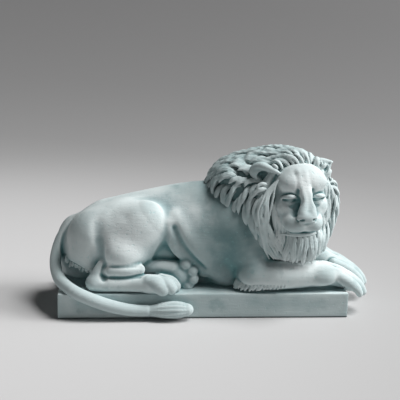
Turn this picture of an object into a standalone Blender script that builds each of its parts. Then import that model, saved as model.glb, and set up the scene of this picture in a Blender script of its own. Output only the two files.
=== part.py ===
"""A plaster figurine of a lion lying on a low plinth, its tail curled down over the plinth's front.

Lion, tail and plinth are one casting. The plinth is a box with softened edges. The lion is a free
form: it is modelled as clay, by adding and cutting rounded masses in a distance field, and the skin
of that field becomes its mesh. Metres, +Z up, +X from the tail end to the forepaws, the head turned
to -Y, the origin in the middle of the plinth's underside.
"""
import math

import bpy
import numpy as np

# Driving sizes, in metres
PLINTH_LENGTH = 0.240
PLINTH_DEPTH = 0.095
PLINTH_HEIGHT = 0.021
PLINTH_EDGE = 0.0008  # width of the softened edges
FIGURE_LENGTH = 0.270  # from the tail's root to the far forepaw's tip
TAIL_RADIUS = 0.0052
TAIL_FOOT_GAP = 0.002  # from the surface that the plinth stands on up to the tail's tuft

# The figure's pose and proportions are in its own units, 270 to its length, measured from the
# middle of the plinth's top
UNIT = FIGURE_LENGTH / 270
GRID = 1.3
FACES = 8600  # triangles of the figure before it is joined to the plinth

# The head's frame: its middle between the eyes, turned in degrees about X, Y and Z
EYES = np.array([78.9, -47.0, 83.2])
HEAD_TURN = (11, -1, 9)

# Locks of the mane, in units
LOCK_WIDTH = 2.7
LOCK_LENGTH = 16.0
LOCK_RISE = 4.0
LOCK_BED = 2.8  # from the mane's outer form down to the bed between the locks
LOCK_OVERLAP = 1.8  # how much further apart they are along the hair than across it
# Its lower edge on the flanks, along and up
MANE_EDGE = (-6, 92), (6, 86), (17, 66), (30, 49), (46, 38), (64, 22)
STRANDS = 1  # side by side in a lock
STRAND_DEPTH = 0.7  # of a strand's thickness to its width
FRAMING_GAP = 5.0  # between the long strands round the face

PLASTER = (0.50, 0.60, 0.60, 1.0)
UP = np.array([0, 0, 1])
OPEN_SPACE = 1000.0  # the field's value before any clay is added


# Vectors

def rotation(turn):
    """A 3x3 matrix that turns by degrees about X, then Y, then Z."""
    a, b, c = (math.radians(t) for t in turn)
    about_x = np.array([[1, 0, 0], [0, math.cos(a), -math.sin(a)], [0, math.sin(a), math.cos(a)]])
    about_y = np.array([[math.cos(b), 0, math.sin(b)], [0, 1, 0], [-math.sin(b), 0, math.cos(b)]])
    about_z = np.array([[math.cos(c), -math.sin(c), 0], [math.sin(c), math.cos(c), 0], [0, 0, 1]])
    return about_z @ about_y @ about_x


def unit(vectors):
    return vectors / (np.linalg.norm(vectors, axis=-1, keepdims=True) + 1e-9)


def smooth_path(rows, per_span=4):
    """A Catmull-Rom curve through rows of numbers, so that a radius can ride along with its point."""
    rows = np.asarray(rows, float)
    if len(rows) < 3:
        return rows
    ends = np.vstack([2 * rows[0] - rows[1], rows, 2 * rows[-1] - rows[-2]])
    path = []
    for a, b, c, d in zip(ends, ends[1:], ends[2:], ends[3:]):
        for t in np.arange(per_span) / per_span:
            cubic = (3 * b - a - 3 * c + d) * t**3 + (2 * a - 5 * b + 4 * c - d) * t**2
            path.append(b + 0.5 * ((c - a) * t + cubic))
    path.append(rows[-1])
    return np.array(path)


# Clay

class Ball:
    """An ellipsoid, turned by degrees about X, Y and Z or by a matrix."""

    def __init__(self, centre, radii, turn=(0, 0, 0)):
        self.centre = np.asarray(centre, float)
        self.radii = np.broadcast_to(np.asarray(radii, float), 3)
        self.axes = turn if isinstance(turn, np.ndarray) else rotation(turn)
        reach = np.sqrt(((self.axes * self.radii) ** 2).sum(1))
        self.low, self.high = self.centre - reach, self.centre + reach

    def distance(self, x, y, z):
        x, y, z = x - self.centre[0], y - self.centre[1], z - self.centre[2]
        scaled, slope = 0, 0
        for i in range(3):
            along = x * self.axes[0, i] + y * self.axes[1, i] + z * self.axes[2, i]
            scaled = scaled + (along / self.radii[i]) ** 2
            slope = slope + (along / self.radii[i] ** 2) ** 2
        scaled, slope = np.sqrt(scaled), np.sqrt(slope)
        return scaled * (scaled - 1) / (slope + 1e-6)


class Limb:
    """A tapering limb along rows of (x, y, z, radius); squash is (axis, ratio) and flattens it."""

    def __init__(self, rows, squash=None, per_span=4):
        rows = smooth_path(rows, per_span)
        self.path, self.radii = rows[:, :3], rows[:, 3]
        widest = self.radii.max()
        self.low, self.high = self.path.min(0) - widest, self.path.max(0) + widest
        self.press = None
        if squash is not None:
            axis = unit(np.asarray(squash[0], float))
            self.press = np.eye(3) + (1 / squash[1] - 1) * np.outer(axis, axis)

    def distance(self, x, y, z):
        path = self.path
        if self.press is not None:
            m = self.press
            x, y, z = (m[i, 0] * x + m[i, 1] * y + m[i, 2] * z for i in range(3))
            path = path @ m.T
        nearest = OPEN_SPACE
        for a, b, start, end in zip(path[:-1], path[1:], self.radii[:-1], self.radii[1:]):
            ab = b - a
            dx, dy, dz = x - a[0], y - a[1], z - a[2]
            t = np.clip((dx * ab[0] + dy * ab[1] + dz * ab[2]) / max(ab @ ab, 1e-9), 0, 1)
            away = np.sqrt((dx - t * ab[0]) ** 2 + (dy - t * ab[1]) ** 2 + (dz - t * ab[2]) ** 2)
            nearest = np.minimum(nearest, away - (start + (end - start) * t))
        return nearest


class Clay:
    """A distance field on a grid: negative inside the clay, positive outside."""

    def __init__(self, low, high, step):
        self.low, self.step = np.asarray(low, float), step
        count = np.ceil((np.asarray(high, float) - self.low) / step).astype(int) + 1
        self.axes = [(self.low[i] + step * np.arange(count[i])).astype(np.float32) for i in range(3)]
        self.field = np.full(count, OPEN_SPACE, np.float32)

    def window(self, shape, margin):
        """The part of the grid around a shape, as slices and as x, y and z."""
        cut = []
        for axis, low, high in zip(self.axes, shape.low - margin, shape.high + margin):
            start = int(np.searchsorted(axis, low))
            cut.append(slice(start, max(int(np.searchsorted(axis, high)), start + 1)))
        x, y, z = (axis[c] for axis, c in zip(self.axes, cut))
        return tuple(cut), x[:, None, None], y[None, :, None], z[None, None, :]

    def add(self, shape, blend):
        """Adds a mass, with a fillet of about the blend where it meets the clay."""
        cut, x, y, z = self.window(shape, blend + 3 * self.step)
        self.field[cut] = soft_min(self.field[cut], shape.distance(x, y, z), blend)

    def cut(self, shape, blend):
        """Cuts a hollow, with its edge rounded by about the blend."""
        cut, x, y, z = self.window(shape, blend + 3 * self.step)
        self.field[cut] = -soft_min(-self.field[cut], shape.distance(x, y, z), blend)

    def merge(self, other, blend):
        self.field = soft_min(self.field, other.field, blend)

    def stroke(self, points, height, width):
        """Raises the skin along a path, or presses it in where the height is below zero."""
        path = Limb([(*point, 0.0) for point in points])
        cut, x, y, z = self.window(path, 2.2 * width)
        away = path.distance(x, y, z) / width
        self.field[cut] -= height * np.exp(-away * away)

    def sample(self, points):
        """The field at points, between the grid's values."""
        place = (np.asarray(points) - self.low) / self.step
        cell = np.clip(np.floor(place).astype(int), 0, np.array(self.field.shape) - 2)
        share = np.clip(place - cell, 0, 1)
        total = 0
        for corner in np.ndindex(2, 2, 2):
            weight = np.prod(np.where(corner, share, 1 - share), axis=-1)
            total = total + weight * self.field[tuple((cell + corner).T)]
        return total

    def normal(self, points):
        """The outward direction at points."""
        h = 1.5 * self.step
        slope = [self.sample(points + h * e) - self.sample(points - h * e) for e in np.eye(3)]
        return unit(np.stack(slope, -1))

    def settle(self, points):
        """Points near the skin, moved onto it."""
        for _ in range(3):
            points = points - self.normal(points) * np.clip(self.sample(points), -3, 3)[:, None]
        return points

    def cast(self, origin, rays, reach):
        """The outermost point of the clay along each ray, or nan where the ray misses it."""
        found = np.full(len(rays), np.nan)
        for t in np.arange(reach, 5, -1.0):
            hit = np.isnan(found) & (self.sample(origin + rays * t) < 0)
            found[hit] = t
        return origin + rays * found[:, None]

    def skin(self):
        """(points, quads) of the surface, with one point in each cell that the surface crosses."""
        field, inside = self.field, self.field < 0
        cells_each_way = np.array(field.shape) - 1
        corners = list(np.ndindex(2, 2, 2))

        def corner_of_cells(a, s):
            return a[tuple(slice(s[i], s[i] + cells_each_way[i]) for i in range(3))]

        count = sum(corner_of_cells(inside, s).astype(np.int8) for s in corners)
        cells = np.argwhere((count > 0) & (count < 8))
        number = np.full(cells_each_way, -1, np.int64)
        number[tuple(cells.T)] = np.arange(len(cells))

        total, crossings = np.zeros((len(cells), 3)), np.zeros(len(cells))
        for s in corners:
            for axis in range(3):
                if s[axis]:
                    continue
                end = list(s)
                end[axis] = 1
                a = field[tuple((cells + s).T)].astype(float)
                b = field[tuple((cells + end).T)].astype(float)
                crossed = (a < 0) != (b < 0)
                place = np.repeat(np.array([s], float), len(cells), 0)
                place[:, axis] = np.where(crossed, a / np.where(crossed, a - b, 1), 0)
                total += place * crossed[:, None]
                crossings += crossed
        points = self.low + self.step * (cells + total / crossings[:, None])

        quads = []
        for axis in range(3):
            after = [slice(None)] * 3
            before = [slice(None)] * 3
            after[axis], before[axis] = slice(1, None), slice(0, -1)
            at = np.argwhere(inside[tuple(before)] != inside[tuple(after)])
            db = np.eye(3, dtype=int)[(axis + 1) % 3]
            dc = np.eye(3, dtype=int)[(axis + 2) % 3]
            quad = np.stack([number[tuple((at - o).T)] for o in (db + dc, dc, 0 * dc, db)], 1)
            turned = ~inside[tuple(at.T)]
            quad[turned] = quad[turned][:, ::-1]
            quads.append(quad)
        return points, np.vstack(quads)


def soft_min(a, b, blend):
    """The smaller of two fields, rounded off where they are closer than the blend."""
    h = np.maximum(blend - np.abs(a - b), 0) / blend
    return np.minimum(a, b) - h * h * blend / 4


# The body

def body(clay):
    clay.add(Limb([(-76, 2, 36, 33), (-45, 1, 40, 36.5), (-5, 0, 42.8, 41.5), (38, -2, 44, 42)],
                  squash=((0, 1, 0), 0.86), per_span=12), 1)
    clay.add(Ball((34, 0, 60), (34, 25, 27)), 12)
    clay.add(Ball((-91, 0, 30), (28, 24, 27)), 8)
    clay.add(Ball((-88, -14, 40), (25, 22, 24)), 6)
    clay.add(Ball((-94.5, -14, 26), (19.5, 20, 21)), 6)
    clay.add(Limb([(-24, -12, 11, 12), (8, -16, 12, 13), (34, -18, 12, 12)]), 8)


def far_haunch(clay):
    clay.add(Ball((-70, 20, 28), (34, 23, 32)), 8)
    clay.add(Limb([(-90, 16, 10, 12), (-62, 20, 10, 12), (-40, 12, 10, 11)]), 6)
    clay.add(Ball((-110, 13, 25), (14.5, 15, 25)), 12)
    clay.add(Ball((-112, 9, 14), (12.5, 12, 16)), 8)


def flank(clay):
    """The hollow in front of the thigh, and the folds of skin that hang from it to the belly."""
    clay.cut(Limb([(-35, -35, 43, 2.5), (-36, -32, 33, 7), (-33, -28, 21, 12), (-18, -26, 10, 14),
                   (-2, -28, 2, 12),
                   (12, -33, -4, 8)]), 3)
    clay.add(Ball((-32, -12, 24), (17, 13.5, 24)), 3)
    clay.add(Limb([(-30, -30.5, 56, 2.2), (-28.5, -31, 43, 2.6), (-24.0, -30, 33, 3.2),
                   (-16.5, -28, 25, 3.6),
                   (-9, -26, 18.5, 3.8), (0, -24, 12, 4)]), 3)
    clay.add(Limb([(-26, -27, 60, 4), (-15, -28, 43, 6), (-3, -26, 29, 7), (8, -22, 16, 8),
                   (20, -22, 7, 8)]), 8)
    clay.stroke([(-25.5, -34, 52), (-19, -34.5, 39), (-9, -32, 27), (1, -29, 18)], -2.0, 2.6)


def near_haunch(clay):
    clay.add(Ball((-65, -17, 43), (29, 20, 28)), 10)
    clay.add(Limb([(-71, -26, 34, 19), (-56, -26, 49, 20),
                   (-49, -26.5, 55, 17.5)], squash=((0, 1, 0), 0.8),
                  per_span=12), 7)
    clay.add(Ball((-70, -27, 30), (21, 19, 17)), 6)
    clay.add(Limb([(-54.5, -39.0, 18.2, 4.8), (-66, -40.5, 18.0, 6.0), (-80, -39, 18.0, 6.4)]), 3)
    clay.stroke([(-90, -34, 62), (-89, -37, 49), (-86, -39, 37), (-87, -40, 25), (-93, -40, 14)], -2.8, 5)
    clay.stroke([(-88, -38, 42), (-86.5, -40, 32), (-88, -41, 22), (-94, -41, 13)], -2.6, 3.0)
    clay.stroke([(-53, -43, 21.6), (-66, -46, 22.4), (-79, -44.5, 22.0)], -1.2, 1.3)
    clay.stroke([(-88, -36, 64), (-76, -38, 65), (-67, -38, 63)], -1.2, 4)


def near_hind_foot(clay):
    clay.add(Limb([(-91, -40, 7.2, 6.8), (-82, -40.5, 6.8, 6.8), (-65, -41, 6.8, 6.8),
                   (-50, -42.5, 7.5, 7.3)]), 1.5)
    clay.add(Limb([(-91, -40, 8, 5.4), (-89.5, -39.5, 14, 4.2), (-87, -38.5, 20, 3.4),
                   (-84, -36.5, 24, 3.2)]), 3)
    clay.stroke([(-82.5, -43, 21), (-83, -45, 12)], -2.2, 2.4)
    clay.stroke([(-54, -46, 13.8), (-66, -46, 13.6), (-78, -45.5, 13.2)], -1.3, 1.2)
    clay.add(Ball((-42, -43, 7), (10, 8.5, 8)), 4)
    for x, y, size in ((0, -47.8, 6.6), (7.0, -46, 5.9), (10.5, -40.5, 5.7), (10, -34.0, 5.2)):
        clay.add(Limb([(x - 47, y + 2.4, 10, 0.8 * size), (x - 39.5, y, 7.6, size),
                       (x - 35.5, y - 0.4, 4.4, 0.86 * size)]), 0.7)


def far_hind_foot(clay):
    """It lies on its side under the belly, its sole turned to the viewer."""
    clay.add(Limb([(-60, -16, 13, 8), (-47, -24, 16, 6), (-35, -28, 17.4, 6), (-27, -29, 16.5, 6.5)]), 3)
    clay.add(Ball((-21.0, -27, 10), (11.5, 8.5, 12.3), (0, 20, 0)), 3)
    for x, z in ((-16.0, 20.0), (-10.4, 14.4), (-9.6, 7.4), (-13.6, 1.8)):
        clay.add(Ball((x, -29.5, z), (5.2, 6.0, 5.0)), 2.0)
    clay.add(Ball((-22.5, -33, 10.5), (6.0, 3.6, 6.8), (0, 16, 0)), 1.2)


def near_foreleg(clay):
    clay.add(Limb([(20, -17, 58, 19), (33, -26, 40, 15), (41, -33, 20, 12)]), 9)
    clay.add(Ball((42, -34, 11), (13, 10, 11)), 6)
    clay.add(Limb([(40, -36, 12, 11.5), (58, -38, 13, 12), (76, -37, 13, 11.3), (90, -36, 13.5, 10.4),
                   (99, -35, 14, 10)]), 5)
    clay.add(Limb([(96, -35, 14, 10), (108, -33, 12.5, 9.6), (118, -31, 8, 8.8), (124, -30, 4, 8.2)]), 4)
    for y, x in ((-38.5, -3), (-33.5, 1.5), (-27.5, 2), (-22, -1)):
        clay.add(Limb([(110 + x, y + 1, 14, 4.4), (121 + x, y, 9, 5.2), (130 + x, y - 0.5, 2.4, 5.0),
                       (134 + x, y - 0.5, -2.6, 3.9)]), 0.9)
    clay.add(Ball((99, -41, 12), (8, 4.5, 5)), 5)
    for y in (-37.0, -31.5, -26.0):
        clay.stroke([(96, 0.7 * y - 10.5, 24), (108, y, 20.5), (118, y + 1, 14.5)], -1.0, 1.5)
    clay.cut(Ball((112, -41, -6), (18, 14, 7.5)), 3)


def far_foreleg(clay):
    clay.add(Limb([(24, 20, 60, 20), (36, 26, 38, 15), (40, 28, 18, 12)]), 9)
    clay.add(Limb([(38, 29, 12, 12), (62, 25, 14, 12.3), (88, 18, 15, 11.5), (108, 11, 15.5, 10.3)]), 6)
    clay.add(Limb([(106, 12, 15.5, 10), (122, 8, 10, 9.4), (134, 5, 3.5, 8.4)]), 4)
    for y in (-1.0, 4.5, 10.5):
        clay.stroke([(106, 0.8 * y + 2.5, 26), (118, y + 1, 21), (129, y, 13)], -1.0, 1.5)
    for y, x in ((-3.5, -2), (1.5, 1.5), (7.5, 2), (13, -1)):
        clay.add(Limb([(120 + x, y + 1, 13, 4.4), (132 + x, y, 7, 5.2), (141 + x, y - 0.5, 0, 5.0),
                       (145 + x, y - 0.5, -5, 3.9)]), 0.9)


def recess_under_rump(clay):
    """The hollow between the rump, the near heel and the plinth, with the far leg dark inside it."""
    for y, r in ((-14, 13), (-28, 15)):
        clay.cut(Limb([(-138, y, 19, r), (-114, y - 1, 7, r), (-95, y - 4, -3, r)]), 2.5)
    clay.add(Ball((-99, 5, 4), (15, 12, 14)), 3)


def tail(clay):
    """From its root on the rump round the plinth's corner, then along the plinth's front face."""
    end, front = -PLINTH_LENGTH / 2 / UNIT, -PLINTH_DEPTH / 2 / UNIT
    height, r, gap = PLINTH_HEIGHT / UNIT, TAIL_RADIUS / UNIT, TAIL_FOOT_GAP / UNIT
    along = front - 0.78 * r

    def low(x, y, radius, rise):
        """A row whose height is a share of the plinth's height above its lowest place."""
        return (end + x, y, radius + gap + rise * height - height, radius)

    clay.add(Limb([(-103, 1, 50, 1.3 * r), (-112, 0, 43.5, 1.15 * r), (-119, -1, 36, 0.96 * r),
                   (end - 3.6, -5, 24, 0.9 * r), (end - 4, -14, 14, 0.92 * r),
                   (end + 1, -31, 7, 0.96 * r), low(12, front + 1.5, r, 0.78),
                   low(25, along + 0.5, r, 0.55), low(42.5, along, r, 0.25), low(60, along, 0.94 * r, 0.09),
                   low(77.5, along, 0.85 * r, 0.09)]), 1.5)
    clay.add(Limb([low(74, along, 0.8 * r, 0.10), low(85, along - 0.5, 1.27 * r, 0.01),
                   low(96, along - 0.5, 1.38 * r, 0.0), low(104, along, 1.04 * r, 0.08),
                   low(106.5, along, 0.6 * r, 0.18)]), 1.5)


# The head

HEAD_AXES = rotation(HEAD_TURN)
RIGHT, AHEAD, CROWN = HEAD_AXES[:, 0], -HEAD_AXES[:, 1], HEAD_AXES[:, 2]


def face(side, ahead, up):
    """A place on the head, from between the eyes: to the viewer's right, ahead of the face and up."""
    return EYES + side * RIGHT + ahead * AHEAD + up * CROWN


def face_ball(place, radii, turn=(0, 0, 0)):
    return Ball(face(*place), radii, HEAD_AXES @ rotation(turn))


def face_limb(rows):
    return Limb([(*face(*row[:3]), row[3]) for row in rows])


def face_path(rows):
    return [face(*row) for row in rows]


HEAD_MIDDLE = face(0, -24, -2)


NEAR_EAR, FAR_EAR = face(-28.5, -20, 12.5), face(24, -24, 15)
EAR_ROOM = 8.2  # the hair keeps this far from an ear's middle
LEAN = -1.6  # how far the nose and muzzle lie towards the near cheek


def skull(clay):
    clay.add(face_ball((0, -21, -1), (22.8, 20, 22)), 4)
    clay.add(face_ball((0, -13.5, 8), (20, 9.5, 12.5), (-8, 0, 0)), 5)
    for s in (-1, 1):
        clay.add(face_ball((s * 13.6, -13, -17), (9.6, 11.5, 15)), 6)
        clay.add(face_ball((s * 10.6, -8.6, 6.6), (8.6, 4.8, 5.4), (0, -s * 12, 0)), 6)
        clay.add(face_ball((s * 13.0, -8.5, -12.5), (8.5, 8.5, 7)), 6)
        clay.add(face_limb([(s * 2.2 - 3.0, -9.6, 16, 2.4), (s * 2.2 - 2.0, -6.0, 8, 3.2),
                            (s * 2.2 - 0.6, -1.8, 2, 3.7),
                            (s * 2.6, 2.2, -4, 4.1), (s * 3.1 - 0.6, 6.6, -9.5, 4.5),
                            (s * 3.6 - 1.2, 9.2, -12.2, 4.5)]), 2.6)
    clay.add(face_ball((LEAN, -1, -21.5), (16.2, 12.5, 9.4)), 6)
    for s in (-1, 1):
        clay.add(face_ball((s * 7.4 + LEAN, 4.6, -22.6), (9.0, 8.4, 7.0), (0, s * 10, 0)), 4)
    clay.add(face_ball((LEAN - 0.4, 11.6, -14.5), (8.8, 4.2, 4.3), (-18, 0, 0)), 1.6)
    clay.add(face_ball((LEAN, -3, -32.5), (14.0, 9.6, 4.6)), 3)
    clay.add(face_limb([(LEAN - 17, 0.4, -33.0, 0.9), (LEAN - 9, 6.0, -32.0, 1.3),
                        (LEAN, 8.4, -31.4, 1.5),
                        (LEAN + 9, 6.0, -32.0, 1.3), (LEAN + 17, 0.4, -33.0, 0.9)]), 1.5)


def eyes(clay):
    """Deep-set and half closed: a socket, the ball, a heavy upper lid and a thin lower one."""
    for s in (-1, 1):
        clay.cut(face_ball((s * 11.8, 2.4, -3.4), (7.0, 5.6, 4.2)), 4)
        clay.add(face_ball((s * 11.8, -6.6, -4.0), (5.6, 5.0, 4.2)), 1)
        clay.add(face_limb([(s * 6.0, -3.4, -5.0, 1.0), (s * 8.6, -1.8, -2.4, 1.6),
                            (s * 13.0, -1.6, -1.6, 2.0),
                            (s * 18.0, -5.2, -3.6, 1.4)]), 1.4)
        clay.add(face_limb([(s * 6.4, -3.2, -6.0, 0.9), (s * 10.0, -2.1, -7.4, 1.2),
                            (s * 14.0, -2.9, -7.2, 1.2),
                            (s * 17.6, -6.0, -5.4, 0.9)]), 1.6)
        clay.stroke(face_path([(s * 6.2, -2.2, -5.2), (s * 10.0, -0.6, -4.6), (s * 14.2, -1.6, -4.4),
                               (s * 17.4, -4.8, -4.8)]), -1.7, 0.9)
        clay.stroke(face_path([(s * 5.4 - 2.6, -8.0, 15), (s * 5.8 - 1.6, -4.6, 9),
                               (s * 6.6 - 0.4, -2.2, 3.0)]), -0.55, 2.0)
        clay.stroke(face_path([(s * 6.6, -1.4, 3.6), (s * 6.7, -1.0, 1.6)]), -1.3, 1.5)
        clay.stroke(face_path([(s * 7.6, -0.5, -5), (s * 8.6, 3.0, -10.5),
                               (s * 9.8, 5.5, -14)]), -2.0, 2.8)
        clay.stroke(face_path([(s * 10, 0, -9.8), (s * 14, -2, -10.4), (s * 18, -5.5, -8.4)]), -0.7, 1.6)


def mouth(clay):
    """The closed mouth, the groove above it and the nostrils."""
    clay.stroke(face_path([(LEAN - 17.5, 1.2, -31.0), (LEAN - 10.5, 7.8, -29.2), (LEAN - 4, 11.2, -28.4),
                           (LEAN, 12.2, -27.6), (LEAN + 4, 11.2, -28.4), (LEAN + 10.5, 7.8, -29.2),
                           (LEAN + 17.5, 1.2, -31.0)]), -1.9, 1.3)
    clay.stroke(face_path([(LEAN, 15.0, -18.0), (LEAN, 14.2, -21.5), (LEAN, 12.8, -26.5)]), -1.1, 1.1)
    for s in (-1, 1):
        clay.cut(face_ball((s * 5.6 + LEAN, 14.4, -15.9), (2.7, 2.8, 1.3), (0, s * 24, 0)), 0.8)
        clay.stroke(face_path([(s * 8.2 + LEAN, 9.4, -12.0), (s * 9.4 + LEAN, 9.4, -14.8),
                               (s * 7.8 + LEAN, 11.6, -17.4)]), -1.1, 1.0)


def ears(clay):
    """The near ear, half in the hair, with a broad upper fold; and the far one's tip."""
    clay.add(face_ball((-32.0, -25, 13.0), (9.5, 5.5, 7.5)), 2)
    clay.cut(face_ball((-30.0, -18.6, 9.4), (6.4, 8.0, 4.8), (0, 24, 0)), 1.0)
    clay.add(face_limb([(-18, -14.6, 13.0, 0.9), (-21.5, -15.6, 15.0, 1.8), (-27.5, -17.6, 17.4, 2.8),
                        (-33.5, -20.6, 18.6, 3.0), (-38.0, -23.8, 16.0, 2.1), (-39.5, -25, 12.0, 1.6),
                        (-36.5, -23.4, 8.0, 1.6), (-31, -20.6, 4.6, 1.1)]), 1.2)
    clay.add(face_ball((22, -24, 13), (6.5, 4.5, 6.5)), 3)
    clay.add(face_limb([(15, -24, 20, 2.6), (20.5, -24.5, 20, 2.6), (26, -24.5, 19.4, 1.8),
                        (30.5, -24.5, 18.6, 0.9)]), 1.5)
    clay.add(face_limb([(29.0, -24, 18.8, 1.0), (27.4, -22.5, 14, 1.3), (25, -20, 9, 1.3)]), 1.2)
    clay.cut(face_ball((24, -18.5, 15), (2.6, 3.6, 4.0), (0, 20, 0)), 1)


# The mane

def mane_mass(clay):
    """The bulk of the mane, from the withers over the head and down to the chest, open at the face."""
    clay.add(Ball((38, -1, 74), (35, 30, 33.5)), 2)
    clay.add(Ball((61, -9, 76), (42, 29, 38)), 8)
    clay.add(Ball((74, -22, 82), (26, 24, 33)), 6)
    clay.add(Ball((66, -2, 40), (32, 28, 34)), 10)
    clay.add(Ball((85, -24, 58), (21, 19, 32)), 8)
    clay.add(Ball((88, -25, 74), (17.5, 13, 32)), 4)
    clay.add(Limb([(26, -16, 85, 17), (39, -22, 67, 17), (53, -27, 50, 14),
                   (65, -31, 37, 9)], per_span=10), 6)
    clay.add(face_ball((0, -7, -42), (19, 11, 18)), 8)
    clay.add(face_limb([(-20, -20, 17, 4), (-28, -18, 6, 6), (-32.5, -15.5, -5, 7),
                        (-33.5, -14, -16, 7.5),
                        (-31, -11, -29, 7.5), (-27, -8, -41, 6)]), 5)
    clay.add(face_limb([(16, -21, 17, 4), (24, -20.5, 6, 5), (28.5, -19, -5, 5.5), (30.5, -18.5, -17, 6),
                        (28, -17, -30, 6), (20, -13, -41, 6)]), 5)
    clay.cut(face_ball((0, 0, -6), (23.0, 30, 24)), 1.5)


def from_head(points):
    """How far points lie to the viewer's right of the head's middle, ahead of it and above it."""
    r = points - HEAD_MIDDLE
    return r @ RIGHT, r @ AHEAD, r @ CROWN


def hair_flow(points):
    """The way the hair lies: away from the face, back over the crown, and down at the sides."""
    right, ahead, up = (v[:, None] for v in from_head(points))
    outward = unit(right * RIGHT + up * CROWN)
    far_side = np.clip((right - 8) / 10, 0, 1) * np.clip((12 - up) / 16, 0, 1)
    near_side = np.clip((-right - 14) / 10, 0, 1) * np.clip((15 - up) / 14, 0, 1)
    flow = np.clip(1 + up / 40, 0.12, 1) * outward * (1 - 0.8 * far_side - 0.6 * near_side)
    flow = flow - np.clip(0.5 + up / 60, 0.0, 1) * AHEAD * (1 - 0.7 * far_side - 0.5 * near_side)
    flow = flow + np.clip(up / 20, 0, 1) * np.clip((10 - right) / 20, 0, 1) * np.array([-0.9, 0, 0])
    flow = flow - (np.clip(0.35 - up / 26, 0, 2.2) + 0.8 * far_side + 0.9 * near_side) * UP
    flow = flow + np.clip(-ahead / 30, 0, 1) * (1 - 0.7 * near_side) * np.array([-0.6, 0, -0.35])
    return flow + np.clip((-up - 10) / 20, 0, 1) * (right < -8) * np.array([0.9, 0, 0])


def hair_roots(mass, clay):
    """Places on the mane's skin where rays from inside the head come out, ring by ring."""
    rays = []
    for ring, away in enumerate(np.radians(np.arange(40, 176, 2.0))):
        count = max(int(2 * math.pi * math.sin(away) / math.radians(2.4)), 6)
        for k in range(count):
            round_face = 2 * math.pi * (k + 0.5 * (ring % 2)) / count
            sideways = math.cos(round_face) * RIGHT + math.sin(round_face) * CROWN
            rays.append(math.cos(away) * AHEAD + math.sin(away) * sideways)
    roots = mass.cast(HEAD_MIDDLE, np.array(rays), 110)
    roots = mass.settle(roots[~np.isnan(roots[:, 0])])
    right, ahead, up = from_head(roots)
    in_face = (ahead > 0) & ((right / 31) ** 2 + ((up + 9) / 28) ** 2 < 1)
    above_edge = roots[:, 2] - np.interp(roots[:, 0], *np.array(MANE_EDGE).T)
    above_edge = above_edge - np.interp(roots[:, 0], (15, 40), (6, -4))
    return roots[(clay.sample(roots) > 0.6) & ~in_face & (from_ears(roots) > EAR_ROOM) & (above_edge > 0)]


def spaced(points, flows, spacing):
    """The indices of points that keep their spacing from those before, wider along the flow than across."""
    kept = []
    for i, point in enumerate(points):
        apart = points[kept] - point
        along = apart @ flows[i]
        gaps = np.sqrt((apart**2).sum(1) - along**2 * (1 - 1 / LOCK_OVERLAP**2))
        if np.all(gaps > 0.5 * (spacing[kept] + spacing[i])):
            kept.append(i)
    return kept


def from_ears(points):
    """How far the points are from the middle of the nearer ear."""
    near, far = (np.linalg.norm(points - ear, axis=1) for ear in (NEAR_EAR, FAR_EAR))
    return np.minimum(near, far + 3)


def comb(mass, roots, length, curl, stray, steps=9):
    """Paths over the mane's skin along the hair's flow, bending down towards their tips, with normals."""
    points, paths, normals = roots, [roots], [mass.normal(roots)]
    for k in range(steps):
        normal = mass.normal(points)
        flow = unit(hair_flow(points)) - (curl * (1.7 * (k + 0.5) / steps - 0.7))[:, None] * UP
        flow = flow + stray[:, None] * np.cross(normal, flow)
        flow = unit(flow - (flow * normal).sum(1, keepdims=True) * normal)
        points = mass.settle(points + flow * (length / steps)[:, None])
        paths.append(points)
        normals.append(mass.normal(points))
    return np.stack(paths, 1), np.stack(normals, 1)


def clear_of_ears(path, normals):
    """The lock's path up to an ear, as many points as before, or None where little would be left."""
    near = np.flatnonzero(from_ears(path) < EAR_ROOM)
    if not len(near):
        return path, normals
    if near[0] < 4:
        return None
    at = np.linspace(0, near[0], len(path))
    index = np.arange(len(path))
    return tuple(np.column_stack([np.interp(at, index, column) for column in rows.T])
                 for rows in (path, normals))


def lock(path, normals, width, rise):
    """A lock of hair that grows out of the mane, swells and closes in a lifted point, in strands."""
    along, strands = np.linspace(0, 1, len(path)), STRANDS
    swell = np.interp(along, [0, 0.15, 0.45, 0.75, 0.92, 1], [0.5, 0.85, 1.0, 0.8, 0.42, 0.1])
    lift = np.interp(along, [0, 0.3, 0.7, 1], [-0.6, 0.4, 1.0, 0.7]) * rise
    sides = np.cross(normals, unit(np.gradient(path, axis=0)))
    limbs = []
    for across in np.linspace(-1, 1, strands) * (1 - 1 / strands):
        radius = swell * width * (1.0 if strands == 1 else 1.3 / strands)
        high = lift - 0.22 * width * abs(across) * swell
        rows = path + normals * high[:, None] + sides * (across * swell * width)[:, None]
        limbs.append(Limb(np.column_stack([rows, radius]), squash=(normals[len(path) // 2], STRAND_DEPTH),
                          per_span=1))
    return limbs


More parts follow.
